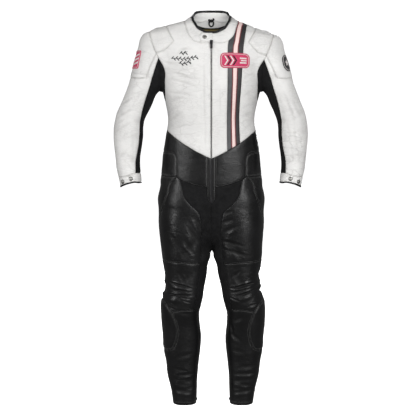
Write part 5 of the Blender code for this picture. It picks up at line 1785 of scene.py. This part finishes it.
def sew_lining():
    """The lining inside the back of the neck."""
    right = [place("back", x, z) * MIRROR for x, z in LINING_TOP[:0:-1]]
    top = right + [place("back", x, z) for x, z in LINING_TOP]
    low = [place("back", x, z) for x, z in LINING_LOW]
    low += [place("back", x, z) * MIRROR for x, z in LINING_LOW[-2::-1]]
    ends = np.array(top[-1:] + low + top[:1])
    low_line = even_points(smooth_line(ends), LOOP_STEP)
    top_line = even_points(smooth_line(np.array(top)), LOOP_STEP)
    loop = onto_form(np.vstack([top_line[:-1], low_line[:-1]]))
    tube = TUBES["torso"]
    cut = Cut(tube, tube.flatten(loop), loop)
    drop = -(LEATHER + LINING_GAP)
    uneven = rumple(cut.points) * smooth_step(0.0, 0.01, cut.edge)
    outer = cut.points + cut.normals * (drop + np.minimum(uneven, 0.0005))[:, None]
    inner = outer - cut.normals * LINING_CLOTH
    obj = make_object("neck_lining_sewn", *shell(cut, outer, inner), "lining_cloth")
    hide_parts("neck_lining")


def back_seams(seams):
    """The tape sewn behind the seams down the middle, so that no light comes through them."""
    for name in ("placket_slit", "crotch_centre", "seat_centre"):
        path = spread_open(seams[name], 0.004)
        normals = outward(path)
        inside = path - normals * (LEATHER + 0.0014)
        tape = sweep(inside, TAPE_HALF, False, 8, TAPE_FLAT, normals)
        make_object(f"seam_tape_{name}", *tape, "binding")


def bind_edge(name, edge, away, size, replaced):
    normals = outward(edge)
    along = round_loop(edge)
    beyond = np.cross(normals, along) * away
    path = edge - normals * (LEATHER / 2 + 0.0006) + beyond * (size * 0.8 + SEAM_GAP)
    run = np.arange(len(path))
    radius = size * (1 + 0.05 * np.sin(run * 0.9) + 0.04 * np.sin(run * 0.37))
    points, faces = sweep(path, radius, True, 10, 1.0, beyond)
    obj = make_object(name, points, faces, "binding")
    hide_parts(replaced)


def bind_edges(seams):
    half = np.vstack([seams["collar_a"][:-1], seams["collar_b"]])
    corner = np.exp(-(((half[:, 2] - COLLAR_CORNER) / CORNER_REACH) ** 2))
    same = np.ones(len(half))
    half = half * np.column_stack([1 - CORNER_DRAW * corner, same, same])
    whole = np.vstack([half, (half * MIRROR)[-2:0:-1]])
    bind_edge("collar_edge", whole, 1, COLLAR_BINDING, "collar_binding")
    cuff = seams["cuff_bottom"][:-1]
    bind_edge("cuff_edge_L", cuff, -1, CUFF_BINDING, "cuff_binding_L")
    bind_edge("cuff_edge_R", (cuff * MIRROR)[::-1], -1, CUFF_BINDING, "cuff_binding_R")


def frame_at(point, normal):
    """A matrix at the point with Z along the normal and Y up the cloth."""
    out = Vector(normal).normalized()
    across = Vector((0, 0, 1)).cross(out).normalized()
    turn = Matrix((across, out.cross(across), out)).transposed().to_4x4()
    return Matrix.Translation(Vector(point)) @ turn


def on_side(kind, x, height):
    """A point and normal found on the left and mirrored where x is on the right."""
    point = place(kind, abs(x), height)
    normal = outward(point[None])[0]
    side = (math.copysign(1, x), 1, 1)
    return point * side, normal * side


def turned(profile, sides=24):
    """A lathe shape about Z."""
    points, faces = [], []
    for radius, height in profile:
        for s in range(sides):
            t = 2 * math.pi * s / sides
            points.append((radius * math.cos(t), radius * math.sin(t), height))
    for k in range(len(profile) - 1):
        for s in range(sides):
            e = (s + 1) % sides
            faces.append((k * sides + s, k * sides + e, (k + 1) * sides + e, (k + 1) * sides + s))
    return np.array(points), faces


def press_snaps(tree):
    for name, (kind, x, height) in SNAPS.items():
        point, normal = on_side(kind, x, height)
        rest = above(point[None], normal[None], tree, 0.003)[0]
        matrix = np.array(frame_at(point + normal * (rest - 0.0002), normal))
        for part, profile, finish in SNAP_PARTS:
            shape, faces = turned(profile)
            points = shape @ matrix[:3, :3].T + matrix[:3, 3]
            obj = make_object(f"{name}_{part}", points, faces, finish)
            if part == "cap":
                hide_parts(name)


def box_shape(size, bevel=0.25):
    """A box whose outer face is drawn in, as a zip tooth is."""
    x, y, z = (s / 2 for s in size)
    corners = ((-1, -1), (1, -1), (1, 1), (-1, 1))
    low = [(sx * x, sy * y, -z) for sx, sy in corners]
    high = [(sx * x * (1 - bevel), sy * y * (1 - bevel), z) for sx, sy in corners]
    faces = [(0, 3, 2, 1), (4, 5, 6, 7)]
    faces += [(k, (k + 1) % 4, 4 + (k + 1) % 4, 4 + k) for k in range(4)]
    return np.array(low + high), faces


def middle_line(low, high, step):
    """Points on the form up the middle of the front."""
    heights = np.arange(low, high, step)
    starts = np.column_stack([np.zeros(len(heights)), np.full(len(heights), -0.4), heights])
    return first_crossing(starts, np.tile((0.0, 1.0, 0.0), (len(heights), 1)), 0.8)


def lay_zip():
    """The closed chain: teeth that meet in turn down the middle."""
    line = middle_line(*ZIP_RUN, TOOTH_PITCH)
    normals = outward(line)
    up = unit(np.gradient(line, axis=0))
    across = np.cross(up, normals)
    side = np.where(np.arange(len(line)) % 2 == 0, 1, -1)[:, None]
    centres = line + across * side * TOOTH_SHIFT + normals * TOOTH_RISE
    shape, faces = box_shape(TOOTH_SIZE)
    points, faces = repeated(shape, faces, centres, across, normals)
    make_object("zip_teeth", points, faces, "zip_metal", smooth=False)


def lay_piping(seams):
    """The thin red line on each side of the pink stripe, and the dark cord down the fly: its edge
    and a painted shadow in its slit.
    """
    parts = []
    for name in ("stripe_1", "stripe_2"):
        path = seams[name]
        normals = outward(path)
        moved = folds(path) + creased(path, CREASE_LINES) - GROOVE_DEPTH + 0.0006
        path = path + normals * moved[:, None]
        parts.append(sweep(path, PIPING_HALF, False, 8, 0.45, normals))
    make_object("stripe_piping", *gather(parts), "red_piping")
    # The dark cord stands for the fly's edge and the painted shadow in its slit
    path = spread_open(seams["placket_slit"], 0.004)
    normals = outward(path)
    path = path + normals * (folds(path) + creased(path, CREASE_LINES) - 0.0002)[:, None]
    make_object("fly_shadow_cord", *sweep(path, FLY_SHADOW_HALF, False, 8, 0.5, normals), "black_thread")


def leg_point(turn, height):
    """A point and normal on the left trouser leg, by the turn round it."""
    tube = TUBES["leg"]
    flat = [(turn * tube.radius, np.interp(height, tube.heights, tube.lengths))]
    point = tube.raise_points(np.array(flat, float))
    return point[0], outward(point)[0]


def leg_row(places):
    """Points and normals on the left trouser leg, one for each turn and height."""
    return [np.array(part) for part in zip(*[leg_point(*row) for row in places])]


def finished(points, normals, edge=1.0):
    """The points moved out to the sewn surface away from any seam."""
    return surface(points, normals, np.full(len(points), edge), None)[0]


def hem_stitches():
    """Two rows of grey stitches round each turned trouser hem."""
    turns = np.linspace(0, 2 * math.pi, HEM_STITCHES, endpoint=False)
    for height in HEM_ROWS:
        points, normals = leg_row((turn, height) for turn in turns)
        for side in ((1, 1, 1), MIRROR):
            path, up = points * side, normals * side
            along = round_loop(path)
            STITCHES["grey_stitch"].append([finished(path, up) + up * STITCH_LIFT, along, up])


def ankle_zips():
    """A short closed zip up the inside of each ankle: tape, teeth and a small slider."""
    heights = np.arange(*ANKLE_ZIP, TOOTH_PITCH)
    points, normals = leg_row((ANKLE_ZIP_TURN, height) for height in heights)
    for side, name in (((1, 1, 1), "L"), (MIRROR, "R")):
        line, up = finished(points * side, normals * side), normals * side
        along = unit(np.gradient(line, axis=0))
        tape = sweep(line[::3] + up[::3] * 0.0001, ANKLE_TAPE, False, 8, 0.16, up[::3])
        make_object(f"ankle_zip_tape_{name}", *tape, "stretch_cloth")
        across = np.cross(along, up)
        shift = np.where(np.arange(len(line)) % 2 == 0, 1, -1)[:, None] * 0.0008
        shape, faces = box_shape(ANKLE_TOOTH)
        teeth = repeated(shape, faces, line + across * shift + up * 0.0011, across, up)
        make_object(f"ankle_zip_teeth_{name}", *teeth, "zip_metal", smooth=False)
        shape, faces = box_shape(ANKLE_SLIDER, 0.3)
        slider = repeated(shape, faces, line[3:4] + up[3:4] * 0.0026, across[3:4], up[3:4])
        make_object(f"ankle_zip_slider_{name}", *slider, "dark_metal", smooth=False)


def hang_loop():
    """The hanger loop: a cord bow tied inside the back of the collar."""
    across, tall = LOOP_SIZE
    turns = np.linspace(0, 2 * math.pi, 32, endpoint=False)
    bow = [(across * math.cos(t), LOOP_HEIGHT + tall * math.sin(t)) for t in turns]
    path = np.array([place("back", *at) for at in bow])
    normals = outward(path)
    path -= normals * (LEATHER + LINING_GAP + LOOP_CORD)
    parts = [sweep(path, LOOP_CORD, True, 8, 1.0, normals)]
    for side, height in LOOP_ENDS:
        across = (0.0, side * 0.005, side * 0.0095, side * 0.0065)
        heights = (0.004, height * 0.7, height, height * 1.35)
        tail = []
        for x, h in zip(across, heights):
            point = place("back", abs(x), LOOP_HEIGHT + tall + h - 0.010)
            tail.append(point * (math.copysign(1, x or 1), 1, 1))
        tail = smooth_line(np.array(tail))[::4]
        ups = outward(tail)
        tail = tail - ups * (LEATHER + LINING_GAP + 1.6 * LOOP_CORD)
        parts.append(sweep(tail, LOOP_CORD * 1.15, False, 8, 1.0, ups))
    obj = make_object("hanger_cord", *gather(parts), "binding")
    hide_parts("hanger_loop")


def collar_tab(tree):
    """The rounded end of the collar, which laps over the other side and snaps down."""
    turns = np.radians(np.arange(90, 271, 15))
    (x, z), (long, tall) = TAB_MIDDLE, TAB_ROUND
    round_end = [(x + long * math.cos(t), z + tall * math.sin(t)) for t in turns]
    outline = np.array([(TAB_END, 1.3770), (TAB_END, 1.4090), *round_end])
    outline = spread(outline[::-1], OUTLINE_STEP)
    view = View(FRONT)
    applique("collar_tab", view, outline, "white_leather", 0.0004, TAB_WALL, tree, TAB_GRAIN, True)
    cut = Cut(view, outline, view.raise_points(outline), TAB_GRAIN, ())
    height = above(cut.points, cut.normals, tree) + TAB_WALL
    return cut.points + cut.normals * height[:, None], cut.faces


def motifs(name, finish):
    """Flat outlines of a badge's raised shapes, about its middle."""
    if name == "chest_patch":
        lefts = [CHEVRON_LEFT + CHEVRON_PITCH * k for k in range(4)]
        chevrons = [tuple((left + x, z) for x, z in CHEVRON) for left in lefts]
        bars = [((a, b), (c, b), (c, d), (a, d)) for a, b, c, d in BARS]
        return chevrons + bars
    if finish == "crimson_patch":
        lows = [SLANTS[0] + SLANTS[1] * k for k in range(3)]
        slant = ((-0.018, 0.0), (0.018, 0.010), (0.018, 0.017), (-0.018, 0.007))
        return [tuple((x, low + z) for x, z in slant) for low in lows]
    star = []
    for k in range(10):
        turn = math.pi / 2 + math.pi * k / 5
        star.append((STAR_SIZES[k % 2] * math.cos(turn), STAR_SIZES[k % 2] * math.sin(turn)))
    return [tuple(star)]


def sew_patches(tree):
    """Badges of plain bars, chevrons and a star: twill, a satin border and raised motifs."""
    for name, (azimuth, across, height, width, tall, corner, finish) in PATCHES.items():
        view = View(azimuth)
        middle = np.array([across, height])
        outline = rounded_outline(width, tall, corner, OUTLINE_STEP) + middle
        badge = (BADGE_BASE, BADGE_WALL, tree, 0.0040, True)
        obj = applique(f"{name}_twill", view, outline, finish, *badge)
        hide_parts(name)
        cords = []
        for less, less_round, least, radius in BADGE_CORDS:
            bend = max(corner - less_round, least)
            edge = rounded_outline(width - less, tall - less, bend, OUTLINE_STEP) + middle
            cords.append(rope_on(view, edge, radius, tree, True, BADGE_LIFT))
        border, line = cords
        make_object(f"{name}_border", *border, finish)
        for k, shape in enumerate(motifs(name, finish)):
            flat = spread(np.array(shape) + middle, 0.0025)
            dark = name == "chest_patch" and k in DARK_CHEVRONS
            thread_of = "black_thread" if dark else "white_thread"
            applique(f"{name}_motif_{k + 1}", view, flat, thread_of, 0.0012, 0.0007, tree, 0.0030)
        make_object(f"{name}_lines", *line, "white_thread")


def embroider(tree):
    """A small plain sprig in black thread on the wearer's right chest."""
    view = View(FRONT)
    parts = []
    for row, (left, high, long, tilt) in enumerate(SPRIG_STEMS):
        t = np.linspace(0, 1, 40)
        heights = high + tilt * long * t + 0.0022 * np.sin(t * 7.0 + row)
        stem = np.column_stack([left + long * t, heights])
        parts.append(rope_on(view, stem, SPRIG_RADIUS, tree, False, SPRIG_LIFT))
        leaves = max(3, int(long / LEAF_PITCH))
        for k in range(leaves):
            at = stem[int((k + 0.6) * len(stem) / (leaves + 0.6))]
            side = 1 if k % 2 == 0 else -1
            s = np.linspace(0, 2 * math.pi, 16)
            leaf = np.column_stack([
                at[0] + 0.0042 * (1 - np.cos(s)) / 1.2,
                at[1] + side * (0.0008 + 0.0032 * (1 - np.cos(s))) + 0.0014 * np.sin(s),
            ])
            parts.append(rope_on(view, leaf, SPRIG_RADIUS, tree, False, SPRIG_LIFT))
    make_object("chest_sprig", *gather(parts), "black_thread")


def dress():
    seams = draw_seams()
    sew_panels(seams)
    sew_lining()
    bind_edges(seams)
    back_seams(seams)
    tree = suit_tree()
    lay_zip()
    lay_piping(seams)
    hang_loop()
    tab = collar_tab(tree)
    OUTER.append(tab)
    press_snaps(suit_tree())
    sew_patches(tree)
    embroider(tree)
    ankle_zips()
    hem_stitches()
    for finish, runs in STITCHES.items():
        stitched(f"stitches_{finish.removesuffix('_stitch')}", runs, finish)
    for node in ("zip_slider", "zip_pull"):
        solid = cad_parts[node]
        solid.data.materials.clear()
        solid.data.materials.append(MATERIALS["dark_metal"])


dress()


# ---------------------------------------------------------------- studio


WORLD_STRENGTH = 0.135
BACKDROP_RADIUS = 14.0
BACKDROP_SIDES = 48
FLOOR_DROP = 0.085
# Camera: focal length over its sensor, its place and what it looks at in suit heights, and where
# the suit's middle stands in the frame, in pixels
LENS = 113.35
SENSOR = 36
EYE_AWAY = 5.0
EYE_HEIGHT = 1.25
AIM_HEIGHT = 0.75
FRAME_SIZE = 420
MIDDLE = (211.3, 208.5)
# Soft boxes: name, place, what it faces, size, power, and whether it shows in gloss
LIGHTS = (
    ("key", (-2.5, -2.6, 0.3), (0, 0, -0.60), (1.0, 2.1), 48, True),
    ("fill", (1.6, -3.1, 0.3), (0, 0, -0.60), (1.2, 2.1), 56, True),
    ("front", (0.0, -4.2, 0.3), (0, 0, -0.30), (2.4, 1.6), 69, False),
    ("side", (3.2, -1.6, 0.2), (0, 0, -0.30), (1.4, 2.0), 8, False),
    ("high_front", (0.0, -2.0, 1.9), (0, 0, -0.10), (1.8, 1.0), 3, True),
    ("behind", (0.5, 4.4, 0.5), (0, 0, -0.60), (1.2, 2.4), 110, True),
    ("behind_left", (3.0, 2.4, 0.9), (0, 0, -0.50), (1.4, 2.4), 34, False),
    ("behind_right", (-3.0, 2.4, 1.1), (0, 0, -0.50), (1.4, 2.4), 34, False),
)


def area_light(name, place_at, target, size, power, gloss):
    light = bpy.data.lights.new(name, "AREA")
    light.shape = "RECTANGLE"
    light.size, light.size_y = size
    light.energy = power
    obj = bpy.data.objects.new(name, light)
    obj.location = place_at
    obj.rotation_euler = (Vector(target) - Vector(place_at)).to_track_quat("-Z", "Y").to_euler()
    obj.visible_glossy = gloss
    bpy.context.scene.collection.objects.link(obj)


def studio():
    world = bpy.data.worlds.new("studio")
    bpy.context.scene.world = world
    world.use_nodes = True
    background = world.node_tree.nodes["Background"].inputs
    background["Color"].default_value = (1, 1, 1, 1)
    background["Strength"].default_value = WORLD_STRENGTH
    n = Nodes("pale_backdrop")
    n.shader.inputs["Emission Color"].default_value = (1, 1, 1, 1)
    n.shader.inputs["Emission Strength"].default_value = 1.0
    white = n.finish((0.9, 0.9, 0.9), 0.9, None, 0.1)
    low, sides = -HOLD_HEIGHT - FLOOR_DROP, BACKDROP_SIDES
    turns = np.linspace(0, 2 * math.pi, sides, endpoint=False)
    rings = [(BACKDROP_RADIUS, low), (BACKDROP_RADIUS, BACKDROP_RADIUS)]
    points = [(r * math.cos(t), r * math.sin(t), z) for r, z in rings for t in turns]
    wall = [(k, (k + 1) % sides, sides + (k + 1) % sides, sides + k) for k in range(sides)]
    top = tuple(reversed(range(sides, 2 * sides)))
    for name, faces in (("floor", [tuple(range(sides))]), ("backdrop", [*wall, top])):
        mesh = bpy.data.meshes.new(name)
        mesh.from_pydata(points, [], faces)
        mesh.materials.append(white)
        obj = bpy.data.objects.new(name, mesh)
        bpy.context.scene.collection.objects.link(obj)
        obj.visible_glossy = False
        obj.visible_diffuse = False
        obj.visible_shadow = False
    for row in LIGHTS:
        area_light(*row)
    camera = bpy.data.cameras.new("camera")
    camera.sensor_width = SENSOR
    camera.lens = LENS
    camera.shift_x = (FRAME_SIZE / 2 - MIDDLE[0]) / FRAME_SIZE
    camera.shift_y = (MIDDLE[1] - FRAME_SIZE / 2) / FRAME_SIZE
    eye = bpy.data.objects.new("camera", camera)
    eye.location = (0, -EYE_AWAY, EYE_HEIGHT - HOLD_HEIGHT)
    aim = Vector((0, 0, AIM_HEIGHT - HOLD_HEIGHT)) - eye.location
    eye.rotation_euler = aim.to_track_quat("-Z", "Y").to_euler()
    bpy.context.scene.collection.objects.link(eye)
    bpy.context.scene.camera = eye
    bpy.context.scene.view_settings.view_transform = "Standard"


studio()
